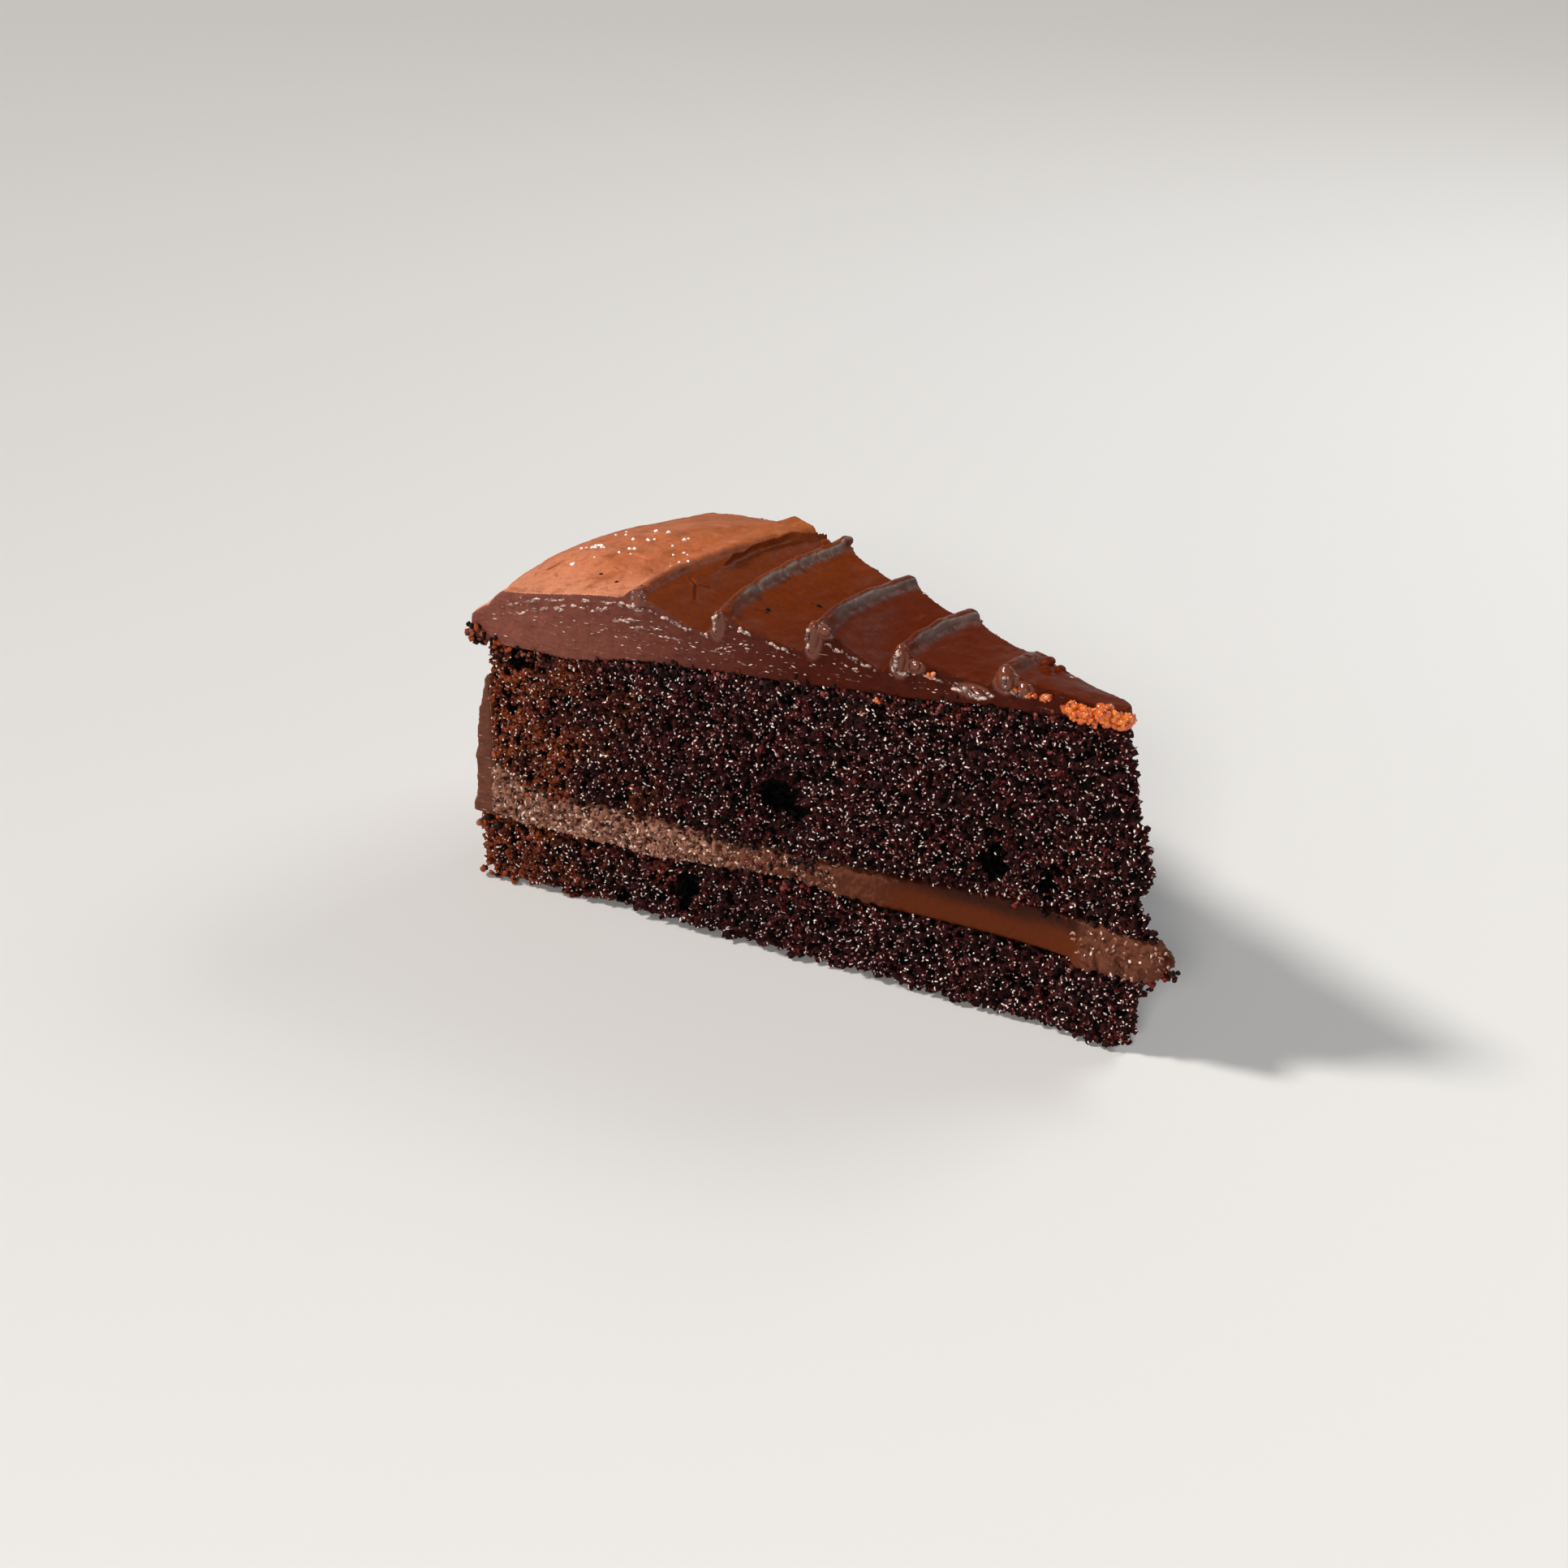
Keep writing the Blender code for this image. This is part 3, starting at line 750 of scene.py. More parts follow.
def makeCrumb(node, name):
    piece = copyOfNode(node, name)
    modify(piece, "SUBSURF", levels=1, render_levels=1)
    holes = crumb["holes"][name]
    cutHoles(piece, holes)
    modify(piece, "REMESH", mode="VOXEL", voxel_size=crumb["voxel"] * mm)
    before, outward = vertexPlaces(piece), outwardAt(piece)
    weighted(piece, "shown", shownWeights(before, holes))
    for layer in crumb["relief"]:
        roughen(piece, group="shown", **layer)
    places = vertexPlaces(piece)
    keptAs(piece, "raised", np.sum((places - before) * outward, axis=1) / mm)
    # painted shade: how dark the holes are inside
    keptAs(piece, "hollow", holeShadeShare(before, holes))
    places[:, 2] = np.maximum(places[:, 2], 0)
    moveVertices(piece, places)
    thinnedTo(piece, crumb["triangles"][name])
    return piece


# The cream between the layers: torn at the rim end, scraped smooth along its middle, smeared at the tip.
cream = {
    "voxel": 0.3,
    "swell": 0.35,
    "relief": (
        {"name": "tornCream", "size": 1.2, "height": 1.1, "noise_depth": 2, "contrast": 1.5},
        {"name": "tornEdges", "size": 0.6, "height": 0.4, "noise_depth": 1, "contrast": 1.5},
    ),
    "tornDepth": 2.5,
    "scraped": (6, 3, 48, 8),  # from, blend, to, blend
    "scrapedSmooth": 0.93,
    "triangles": 150000,
    # smeared lumps at the tip: distance, height, out of the cut, radii, lean
    "smear": (
        (7.2, 16.4, 0.4, (2.4, 0.9, 1.5), 5),
        (4.2, 16.8, 0.7, (2.6, 1.0, 1.6), -8),
        (0.6, 16.8, 0.6, (2.4, 0.9, 1.4), 0),
        (-2.4, 17.6, 0.2, (2.0, 0.8, 1.1), 10),
        (8.4, 15.4, 0.2, (1.2, 0.8, 0.8), 0),
    ),
}


def makeCream():
    piece = copyOfNode("filling", "creamFilling")
    modify(piece, "SUBSURF", levels=2, render_levels=2)
    pieces = [piece]
    for distance, height, out, radii, lean in cream["smear"]:
        pieces.append(lump(onCut(distance, height, out), radii, lean))
    piece = joined(pieces, "creamFilling")
    modify(piece, "REMESH", mode="VOXEL", voxel_size=cream["voxel"] * mm)
    modify(piece, "DISPLACE", strength=cream["swell"] * mm, mid_level=0)
    places, outward = vertexPlaces(piece), outwardAt(piece)
    start, startBlend, end, endBlend = cream["scraped"]
    distance = fromMiddle(places)
    scraped = ease((distance - start) / startBlend) * ease((end - distance) / endBlend) * (places[:, 1] < 0)
    torn = (1 - cream["scrapedSmooth"] * scraped) * (depthInCut(places) < cream["tornDepth"])
    weighted(piece, "torn", torn)
    keptAs(piece, "scraped", scraped)
    for layer in cream["relief"]:
        roughen(piece, group="torn", **layer)
    keptAs(piece, "raised", np.sum((vertexPlaces(piece) - places) * outward, axis=1) / mm)
    thinnedTo(piece, cream["triangles"])
    return piece


# Loose grains that stand out of the crumb all over its cut faces, its tip and its bare rim.
grains = {
    "spacing": (0.75, 1.3),  # near cut, far cut
    "deepest": 1.2,  # none lie deeper in holes
    "length": (0.24, 0.52),
    "thickness": (0.12, 0.22),
    "sunk": 0.05,
    "lowest": 0.62,
    "seedSpan": 0.5,  # jitter, as a share of the spacing
    "startsOut": 8,
    "onCuts": ((-8, 128), (0.4, 58)),  # distances, heights
    # turns from, to and by, heights from, to and by, and the distance where the lines start
    "onRim": ((-0.26, 0.265, 0.0095), (0.5, 58, 1.25), 136),
    "onTip": ((-1.2, 1.25, 0.16), (0.5, 60, 1.0), -14),
    "shape": (1, 0.25, 20),  # subdivisions, lumpiness, triangles
}


def cutStarts(side, spacing):
    # starts of lines that meet a cut face straight on
    distance, height = np.meshgrid(*(np.arange(*ends, spacing) for ends in grains["onCuts"]))
    jitter = draw.uniform(-grains["seedSpan"], grains["seedSpan"], (2, distance.size)) * spacing
    distance, height = distance.ravel() + jitter[0], height.ravel() + jitter[1]
    out = np.array(cutOutward(side)) * grains["startsOut"] * mm
    along = np.array([-math.cos(cake["halfAngle"]), side * math.sin(cake["halfAngle"]), 0])
    flat = distance[:, None] * along * mm + np.array([middleX, 0, 0]) * mm
    flat[:, 2] = height * mm
    return flat + out


def roundStarts(turns, heights, distance):
    # starts round the middle of the cake, or round the tip when the distance is below zero
    turns = np.arange(*turns)
    turn, height = np.meshgrid(turns, np.arange(*heights))
    turn = turn.ravel() + draw.uniform(-0.5, 0.5, turn.size) * (turns[1] - turns[0])
    height = height.ravel() + draw.uniform(-0.5, 0.5, height.size)
    height = np.maximum(height, 0.4)
    return np.stack([middleX - distance * np.cos(turn), distance * np.sin(turn), height], -1) * mm


def grainLines():
    # lines towards the crumb: start, way, how far they may go in mm
    for side, spacing in zip((-1, 1), grains["spacing"]):
        for start in cutStarts(side, spacing):
            yield start, -cutOutward(side), grains["startsOut"] + grains["deepest"]
    for start in roundStarts(*grains["onRim"]):
        yield start, Vector((middleX * mm - start[0], -start[1], 0)).normalized(), math.inf
    for start in roundStarts(*grains["onTip"]):
        yield start, Vector((-1, 0, 0)), math.inf


def makeGrains(pieces, names):
    # the first pieces carry the grains, one name for each
    trees = [treeOf(piece) for piece in pieces]
    found = {name: [] for name in names}
    for start, way, reach in grainLines():
        hit = firstHit(trees, start, way)
        if hit and hit[2] < len(names) and hit[3] < reach * mm:
            found[names[hit[2]]].append(hit[0] - hit[1] * grains["sunk"] * mm)
    made = []
    for name in names:
        places = np.array(found[name])
        places[:, 2] = np.maximum(places[:, 2], grains["lowest"] * mm)
        ranges = (grains["length"], grains["thickness"], grains["thickness"])
        sizes = np.stack([draw.uniform(*ends, len(places)) for ends in ranges], -1)
        made.append(turnedCopies(model(name, *grains["shape"]), name, places, sizes))
    return made


# Toffee crumbs stuck in a clump along the near edge at the tip.
toffee = {
    "shape": (3, 1.0, 60),  # subdivisions, lumpiness, triangles
    "size": (0.6, 1.1),
    "squash": (0.75, 1.2),
    "flat": 0.8,  # share of the spread out of the cut that is used
    # distance, height, out of the cut, radius, count, spread
    "clumps": (
        (2.6, 60.8, 1.3, 0.8, 38, (1.2, 1.2, 1.2)),
        (0.2, 60.5, 1.0, 0.8, 26, (1.0, 1.0, 1.1)),
        (-1.0, 60.1, 0.2, 0.65, 12, (0.5, 1.2, 0.9)),
        (7.4, 60.2, 0.7, 0.7, 30, (2.1, 0.6, 1.0)),
        (11.8, 60.4, 0.4, 0.7, 26, (1.6, 0.6, 1.1)),
        (8.4, 59.1, 0.7, 0.6, 12, (2.6, 0.3, 0.3)),
        (16.4, 61.0, 0.2, 0.55, 9, (0.7, 0.5, 0.7)),
        (19.0, 61.2, 0.1, 0.5, 8, (0.8, 0.4, 0.5)),
        (21.6, 61.5, 0.1, 0.42, 8, (1.2, 0.4, 0.5)),
        (36.4, 60.7, 0.3, 0.48, 7, (0.5, 0.4, 0.7)),
        (5.9, 57.9, 0.3, 0.4, 3, (0.3, 0.2, 0.6)),
        (46.0, 54.2, 0.2, 0.5, 4, (1.4, 0.2, 0.3)),
        (48.4, 51.2, 0.2, 0.4, 2, (0.5, 0.2, 0.3)),
        (27.0, 33.5, 0.2, 0.3, 2, (8, 0.2, 8)),
    ),
}


def makeToffee():
    places, sizes = [], []
    for distance, height, out, radius, count, spread in toffee["clumps"]:
        for _ in range(count):
            offset = draw.uniform(-1, 1, 3) * spread
            size = radius * draw.uniform(*toffee["size"])
            places.append(onCut(distance + offset[0], height + offset[2], out + offset[1] * toffee["flat"]))
            sizes.append(size * draw.uniform(*toffee["squash"], 3))
    return turnedCopies(model("toffeeCrumbs", *toffee["shape"]), "toffeeCrumbs", places, sizes)


# Coarse sugar crystals on the outer ring.
sugar = {
    # distance, side, count, spread
    "clusters": (
        (114.4, -0.35, 6, 1.4), (112.2, -0.35, 4, 1.0), (112.8, -0.63, 3, 0.6), (109.4, -0.54, 1, 0.2),
        (109.7, -0.14, 1, 0.2), (105.9, -0.3, 2, 0.5), (112.0, 0.11, 3, 0.9), (107.4, -0.07, 3, 0.7),
        (107.8, 0.11, 1, 0.2), (101.5, -0.08, 1, 0.2), (103.2, 0.08, 2, 0.9), (98.2, -0.09, 2, 0.8),
        (106.3, -0.41, 1, 0.2), (104.2, -0.4, 1, 0.2), (99, -0.18, 1, 0.2), (94.6, -0.3, 3, 1.6),
        (117.6, 0.05, 3, 2.0), (116.3, -0.38, 2, 0.8),
    ),
    "size": (0.17, 0.32),
    "squash": (0.8, 1.2),
    "halfWidth": 28,  # of the slice where they lie
    "bevel": 0.3,
}


def makeSugar(tree):
    places, sizes = [], []
    for distance, side, count, spread in sugar["clusters"]:
        for _ in range(count):
            away = draw.uniform(-spread, spread, 2)
            place = slicePoints(distance + away[0], side + away[1] / sugar["halfWidth"], cake["above"])
            places.append(tree.ray_cast(Vector(place), Vector((0, 0, -1)))[0])
            sizes.append(draw.uniform(*sugar["size"]) * draw.uniform(*sugar["squash"], 3))
    bpy.ops.mesh.primitive_cube_add(size=2 * mm)
    shape = bpy.context.object
    modify(shape, "BEVEL", width=sugar["bevel"] * mm, segments=1)
    modify(shape, "TRIANGULATE")
    piece = turnedCopies(shape, "sugarCrystals", places, sizes)
    only(piece)
    bpy.ops.object.shade_flat()
    return piece


# Small glossy flakes of frosting, in strings along the near cut and scattered on the far one.
flakes = {
    # points as distance and height, then count, length, thickness
    "strings": (
        (((122, 56.4), (118, 57.4), (112, 59.4), (107, 60.4)), 26, 0.8, 0.24),
        (((116.5, 56.0), (110.4, 58.2), (106.4, 59.0)), 24, 0.8, 0.26),
        (((105.8, 59.6), (102.0, 59.6), (98.3, 60.4)), 16, 0.6, 0.34),
        (((104, 60.9), (99, 61.5), (95, 62.0)), 16, 0.5, 0.32),
        (((96.8, 58.7), (92.0, 59.3)), 12, 0.7, 0.34),
        (((95.4, 61.8), (91.3, 61.8), (87.7, 61.3)), 18, 0.6, 0.42),
        (((93.2, 58.0), (89.7, 58.2), (86.5, 59.0)), 14, 0.6, 0.26),
        (((92.6, 65.0), (92.2, 62.4)), 8, 0.4, 0.45),
        (((87.5, 57.2), (82.5, 57.7)), 10, 0.5, 0.24),
        (((86.8, 61.1), (84.6, 60.3), (80.9, 59.8), (78.2, 59.3)), 20, 0.5, 0.34),
        (((76.3, 63.8), (76.4, 61.0)), 12, 0.4, 0.48),
        (((74.0, 61.9), (71.5, 61.6), (69.8, 61.0)), 12, 0.5, 0.38),
        (((76.9, 57.0), (73.0, 58.4), (69.1, 59.6)), 14, 0.4, 0.24),
        (((67, 60.6), (64.2, 59.9), (62.2, 59.4), (59.9, 59.2)), 18, 0.5, 0.36),
        (((58.4, 65.0), (58.7, 60.7)), 16, 0.4, 0.5),
        (((56, 62.6), (54.3, 61.8), (51.7, 61.3), (49.4, 60.4), (46, 59.6)), 28, 0.5, 0.38),
        (((52.4, 59.1), (49.4, 58.8)), 8, 0.4, 0.26),
        (((42.3, 63.8), (42.7, 60.2), (39.9, 59.9)), 26, 0.45, 0.5),
        (((38, 60.6), (35, 60.2), (32.0, 59.8)), 16, 0.5, 0.34),
        (((32.0, 59.3), (29.1, 59.3), (25.6, 59.6)), 34, 0.7, 0.46),
        (((23.4, 63.8), (23.0, 61.0), (20.5, 60.8)), 22, 0.4, 0.48),
    ),
    "straying": 0.16,
    "wave": (0.3, 1.6),  # mm up, mm to a wave
    # side, from, to, count, height over the crumb, highest, length, thickness
    "scattered": (
        (-1, 60, 122, 90, 0.5, 60.5, 0.45, 0.17),
        (-1, 30, 96, 60, 0.5, 60.5, 0.35, 0.16),
        (1, 10, 125, 120, 1, 63.5, 0.6, 0.26),
    ),
    "startsOut": 5,
    "deepest": 1.6,
    "long": (0.5, 1.2),
    "wide": (0.6, 1.15),
    "flat": 0.8,
    "askew": (0.15, 0.2),  # radians from the cut face, from the string
    "shape": (2, 0.5, 44),  # subdivisions, lumpiness, triangles
}


def flakePlaces():
    # distance, height, side, slope, length, thickness
    spots = []
    rise, waveLength = flakes["wave"]
    for points, count, length, thickness in flakes["strings"]:
        points = np.array(points)
        steps = np.diff(points, axis=0)
        run = np.append(0, np.cumsum(np.linalg.norm(steps, axis=1)))
        for share in np.sort(draw.random(count)):
            at = np.array([np.interp(share * run[-1], run, points[:, axis]) for axis in (0, 1)])
            step = steps[min(np.searchsorted(run, share * run[-1]), len(steps)) - 1]
            step = step if step[0] > 0 else -step
            wave = rise * noise.noise(Vector((at[0] / waveLength, 4, 2)))
            at += draw.normal(0, flakes["straying"], 2) + (0, wave)
            spots.append((*at, -1, math.atan2(step[1], step[0]), length, thickness))
    for side, start, end, count, over, highest, length, thickness in flakes["scattered"]:
        for distance in draw.uniform(start, end, count):
            low = through(cake["spongeTop"], distance) + over
            spots.append((distance, draw.uniform(low, highest), side, 0, length, thickness))
    return spots


def makeFlakes(trees):
    places, sizes, turns = [], [], []
    fromFace, fromString = flakes["askew"]
    for distance, height, side, slope, length, thickness in flakePlaces():
        hit = firstHit(trees, onCut(distance, height, flakes["startsOut"], side), -cutOutward(side))
        if hit is None or hit[2] != 0 or hit[3] > (flakes["startsOut"] + flakes["deepest"]) * mm:
            continue
        places.append(hit[0])
        wide = thickness * draw.uniform(*flakes["wide"])
        sizes.append((length * draw.uniform(*flakes["long"]), wide, wide * flakes["flat"]))
        lean = Matrix.Rotation(-side * cake["halfAngle"] + draw.normal(0, fromFace), 3, "Z")
        turns.append(lean @ Matrix.Rotation(slope + draw.normal(0, fromString), 3, "Y"))
    shape = model("frostingFlakes", *flakes["shape"])
    turns = np.array([[list(row) for row in turn] for turn in turns])
    return copiesOf(shape, "frostingFlakes", places, turns, sizes, draw.random(len(places)))


# Torn bits of cream on its rough stretches.
creamBits = {
    "rows": ((84, 128, 1500), (52, 84, 700), (-7, 10, 160)),  # from, to, count
    "heights": (13, 26),
    "startsOut": 6,
    "length": (0.25, 0.62),
    "thickness": (0.11, 0.24),
    "broad": 1.3,
    "shape": (2, 0.8, 44),  # subdivisions, lumpiness, triangles
}


def makeCreamBits(trees):
    places, sizes = [], []
    for start, end, count in creamBits["rows"]:
        spots = zip(draw.uniform(start, end, count), draw.uniform(*creamBits["heights"], count))
        for distance, height in spots:
            hit = firstHit(trees, onCut(distance, height, creamBits["startsOut"]), -cutOutward(-1))
            if hit and hit[2] == 0:
                places.append(hit[0])
                thick = draw.uniform(*creamBits["thickness"])
                sizes.append((draw.uniform(*creamBits["length"]), thick, thick * creamBits["broad"]))
    return turnedCopies(model("creamBits", *creamBits["shape"]), "creamBits", places, sizes)


# Larger loose crumbs: under the near corner, along the cream and at the tip.
looseCrumbs = {
    # distance, height, out, count, spread along, out and up, radius
    "heaps": (
        (126.2, 50.4, 0.2, 34, (1.6, 0.9, 1.7), 0.62),
        (123.4, 49.6, 0.2, 14, (2.2, 0.5, 0.9), 0.5),
        (-5.6, 18.4, 0.2, 26, (2.4, 0.7, 1.4), 0.5),
        (1.5, 14.6, 0.3, 22, (5.0, 0.4, 0.7), 0.45),
        (12, 22.6, 0.1, 14, (9, 0.3, 0.6), 0.45),
        (70, 20.6, 0.2, 40, (14, 0.3, 0.9), 0.5),
        (72, 14.9, 0.2, 34, (16, 0.3, 0.8), 0.5),
        (104, 20.2, 0.2, 22, (14, 0.3, 0.7), 0.45),
        (62, 18, 0.4, 30, (9, 0.3, 2.0), 0.42),
        (125.5, 12.0, 0.2, 16, (2.5, 0.6, 1.6), 0.6),
        (124, 1.2, 0.2, 18, (4, 0.6, 0.6), 0.6),
        (2, 59.0, 0.1, 12, (2.0, 0.5, 0.6), 0.5),
    ),
    "heapSize": (0.5, 1.25),
    "squash": (0.7, 1.2),
    "lifted": 1.15,  # radii over the floor at the least
    "alongTop": (12, 123, 300, (0.26, 0.5)),  # from, to, count, radius
    "belowTop": (1.6, 0.7),  # mean, spread
    "topOut": (-0.1, 0.25),
    "onTopSize": (0.35, 0.5),
    "tones": (0.5, 0.1),  # highest, on top
    "shape": (2, 0.9, 44),  # subdivisions, lumpiness, triangles
    "onTop": ((71.4, -0.57), (67.8, -0.01), (71.8, -0.52), (93.2, -0.86), (100, -0.76), (104.5, -0.7)),
}


def makeLooseCrumbs(frostingTree):
    places, sizes = [], []
    for distance, height, out, count, spread, radius in looseCrumbs["heaps"]:
        for _ in range(count):
            offset = draw.uniform(-1, 1, 3) * spread
            size = radius * draw.uniform(*looseCrumbs["heapSize"])
            place = onCut(distance + offset[0], height + offset[2], out + offset[1])
            place.z = max(place.z, looseCrumbs["lifted"] * size * mm)
            places.append(place)
            sizes.append(size * draw.uniform(*looseCrumbs["squash"], 3))
    start, end, count, radius = looseCrumbs["alongTop"]
    below, spread = looseCrumbs["belowTop"]
    for distance in draw.uniform(start, end, count):
        height = through(cake["spongeTop"], distance) - below + draw.normal(0, spread)
        places.append(onCut(distance, height, draw.uniform(*looseCrumbs["topOut"])))
        sizes.append(draw.uniform(*radius) * draw.uniform(*looseCrumbs["squash"], 3))
    for distance, side in looseCrumbs["onTop"]:
        start = Vector(slicePoints(distance, side, cake["above"]))
        places.append(frostingTree.ray_cast(start, Vector((0, 0, -1)))[0])
        sizes.append(draw.uniform(*looseCrumbs["onTopSize"]) * np.ones(3))
    shape = model("looseCrumbs", *looseCrumbs["shape"])
    highest, onTop = looseCrumbs["tones"]
    tones = draw.random(len(places)) * highest
    tones[-len(looseCrumbs["onTop"]):] = onTop
    return turnedCopies(shape, "looseCrumbs", places, sizes, tones)


class Wire:
    # one output socket; arithmetic on wires adds Math nodes
    def __init__(self, finish, socket):
        self.finish = finish
        self.socket = socket

    def __add__(self, other):
        return self.finish.maths("ADD", self, other)

    def __sub__(self, other):
        return self.finish.maths("SUBTRACT", self, other)

    def __rsub__(self, other):
        return self.finish.maths("SUBTRACT", other, self)

    def __mul__(self, other):
        return self.finish.maths("MULTIPLY", self, other)

    def __truediv__(self, other):
        return self.finish.maths("DIVIDE", self, other)

    def __rtruediv__(self, other):
        return self.finish.maths("DIVIDE", other, self)

    def __pow__(self, other):
        return self.finish.maths("POWER", self, other)

    __radd__ = __add__
    __rmul__ = __mul__


class Finish:
    # a Principled material and the nodes that feed it
    def __init__(self, name, **shaderValues):
        self.material = bpy.data.materials.new(name)
        self.material.use_nodes = True
        self.tree = self.material.node_tree
        self.shader = self.tree.nodes["Principled BSDF"]
        for key, value in shaderValues.items():
            self.shader.inputs[key.replace("_", " ")].default_value = value

    def node(self, kind, settings=None, inputs=None, output=0):
        made = self.tree.nodes.new(kind)
        for key, value in (settings or {}).items():
            setattr(made, key, value)
        for key, value in (inputs or {}).items():
            self.plug(made.inputs[key], value)
        return Wire(self, made.outputs[output])

    def plug(self, socket, value):
        if isinstance(value, Wire):
            self.tree.links.new(value.socket, socket)
        else:
            socket.default_value = (*value, 1) if socket.type == "RGBA" else value

    def maths(self, operation, first, second):
        return self.node("ShaderNodeMath", {"operation": operation}, {0: first, 1: second})

    def objectPlace(self):
        return self.node("ShaderNodeTexCoord", output="Object")

    def axis(self, vector, name):
        return self.node("ShaderNodeSeparateXYZ", inputs={0: vector}, output=name)

    def kept(self, name):
        return self.node("ShaderNodeAttribute", {"attribute_name": name}, output="Fac")

    def fromMiddle(self, place):
        # distance in mm from the middle of the whole cake
        x, y = self.axis(place, "X") - middleX * mm, self.axis(place, "Y")
        return (x * x + y * y) ** 0.5 / mm

    def stretched(self, place, stretch):
        return self.node("ShaderNodeMapping", {"vector_type": "POINT"}, {"Vector": place, "Scale": stretch})

    def noise(self, place, size, detail, roughness=0.5, distortion=0.0):
        # size in mm
        inputs = {
            "Vector": place, "Scale": 1 / (size * mm), "Detail": detail,
            "Roughness": roughness, "Distortion": distortion,
        }
        return self.node("ShaderNodeTexNoise", inputs=inputs)

    def step(self, value, start, end):
        # 0 below start, 1 above end, eased between
        inputs = {"Value": value, "From Min": start, "From Max": end}
        settings = {"interpolation_type": "SMOOTHSTEP", "clamp": True}
        return self.node("ShaderNodeMapRange", settings, inputs)

    def mixed(self, first, second, share, how="MIX"):
        # sockets 6 and 7 take the two colours, and output 2 gives the result
        settings = {"data_type": "RGBA", "blend_type": how}
        return self.node("ShaderNodeMix", settings, {"Factor": share, 6: first, 7: second}, 2)

    def bump(self, height, depth, strength):
        # depth in mm
        inputs = {"Height": height, "Distance": depth * mm, "Strength": strength}
        return self.node("ShaderNodeBump", inputs=inputs)

    def feed(self, **sockets):
        for key, value in sockets.items():
            self.plug(self.shader.inputs[key.replace("_", " ")], value)
        return self.material


crumbLook = {
    # painted shade, for the pits of the relief and the insides of the holes
    "crumbPitShade": (0.0008, 0.0003, 0.0003),
    "dark": (0.008, 0.0022, 0.0018),
    "grain": (0.045, 0.009, 0.009),
    "red": (0.16, 0.018, 0.016),
    # partly the grains' own colour, partly painted dimmer glints
    "mauve": (0.3, 0.14, 0.13),
    "rim": (0.3, 0.058, 0.016),
    # painted highlight: glints on moist crumb
    "pale": (0.92, 0.8, 0.72),
    "roughness": (0.35, 0.7),
}


def rimward(finish, place):
    # 1 where the crumb is browner, near the rim and here and there beyond
    broad = finish.noise(place, 7, 2)
    return finish.step(finish.fromMiddle(place) + (broad - 0.5) * 90, 88, 136)


def crumbFinish():
    look = crumbLook
    finish = Finish("darkCrumb", Specular_IOR_Level=0.05)
    place = finish.objectPlace()
    fine = finish.noise(place, 0.5, 3, 0.6)
    patch = finish.noise(place, 5, 2)
    # painted shade: the low points of the relief get the darkest colour
    unshaded = finish.step(finish.kept("raised"), -0.85, 0.15)
    redder = finish.step(fine, 0.5, 0.62) * finish.step(patch, 0.45, 0.65) * 0.7
    tone = finish.mixed(look["dark"], look["grain"], finish.step(fine, 0.4, 0.65))
    tone = finish.mixed(tone, look["red"], redder)
    tone = finish.mixed(tone, look["rim"], rimward(finish, place) * finish.step(fine, 0.36, 0.6))
    # painted shade: near black in the pits of the relief and inside the holes
    tone = finish.mixed(look["crumbPitShade"], tone, unshaded * (1 - finish.kept("hollow")))
    low, top = look["roughness"]
    shine = finish.noise(place, 0.7, 2)
    roughness = finish.step(shine, 0.35, 0.65) * (top - low) + low
    grit = finish.bump(finish.noise(place, 0.33, 3, 0.7), 0.25, 0.8)
    return finish.feed(Base_Color=tone, Roughness=roughness, Normal=grit)


def grainFinish():
    look = crumbLook
    finish = Finish("standingGrains", Specular_IOR_Level=0.1, Coat_Roughness=0.15)
    place = finish.objectPlace()
    tone = finish.kept("tone")
    patch = finish.noise(place, 5, 2)
    colour = finish.mixed(look["dark"], look["red"], finish.step(tone + (patch - 0.5) * 0.8, 0.25, 0.5))
    colour = finish.mixed(colour, look["rim"], rimward(finish, place) * finish.step(tone, 0.12, 0.3))
    # mauve grains: partly their own colour, partly painted dimmer glints
    colour = finish.mixed(colour, look["mauve"], finish.step(tone, 0.42, 0.56))
    # painted highlights: the palest grains stand in for glints
    colour = finish.mixed(colour, look["pale"], finish.step(tone, 0.66, 0.9))
    glossy = finish.step(tone, 0.5, 0.75)
    return finish.feed(Base_Color=colour, Roughness=0.6 - 0.3 * glossy, Coat_Weight=0.05 + 0.85 * glossy)


frostingLook = {
    # painted light: the near part of the ring is paler, as where the key light falls brightest
    "ring": (0.62, 0.23, 0.12),
    "ringMiddle": (0.475, 0.13, 0.046),
    "ringFar": (0.355, 0.09, 0.022),
    "ringDark": (0.27, 0.07, 0.022),
    "ringLight": (0.68, 0.28, 0.15),
    # painted highlight along the ring's edge at the cut
    "ringEdgeHighlight": (0.78, 0.46, 0.35),
    "curl": (0.15, 0.038, 0.018),
    # painted reflection: the grey sheen on the tip-side faces of the lips
    "face": (0.065, 0.03, 0.022),
    "faceLight": (0.21, 0.15, 0.125),
    "rim": (0.165, 0.052, 0.03),
    "scallop": (0.15, 0.026, 0.004),
    "tip": (0.098, 0.012, 0.001),
    # painted sheen: milky streaks along the combed part
    "paintedSheen": (0.3, 0.15, 0.11),
    "cut": (0.19, 0.06, 0.042),
    "cutTip": (0.052, 0.007, 0.0025),
    "skirt": (0.115, 0.04, 0.024),
    # painted shade: dark specks where small pits would be shaded
    "cutPitShade": (0.05, 0.014, 0.009),
    # painted highlight: pale streaks on the cut faces and the paler flakes
    "streakGlint": (0.75, 0.52, 0.42),
    "mottle": ((0.1, 0.1, 0.1), (0.9, 0.9, 0.9)),
}


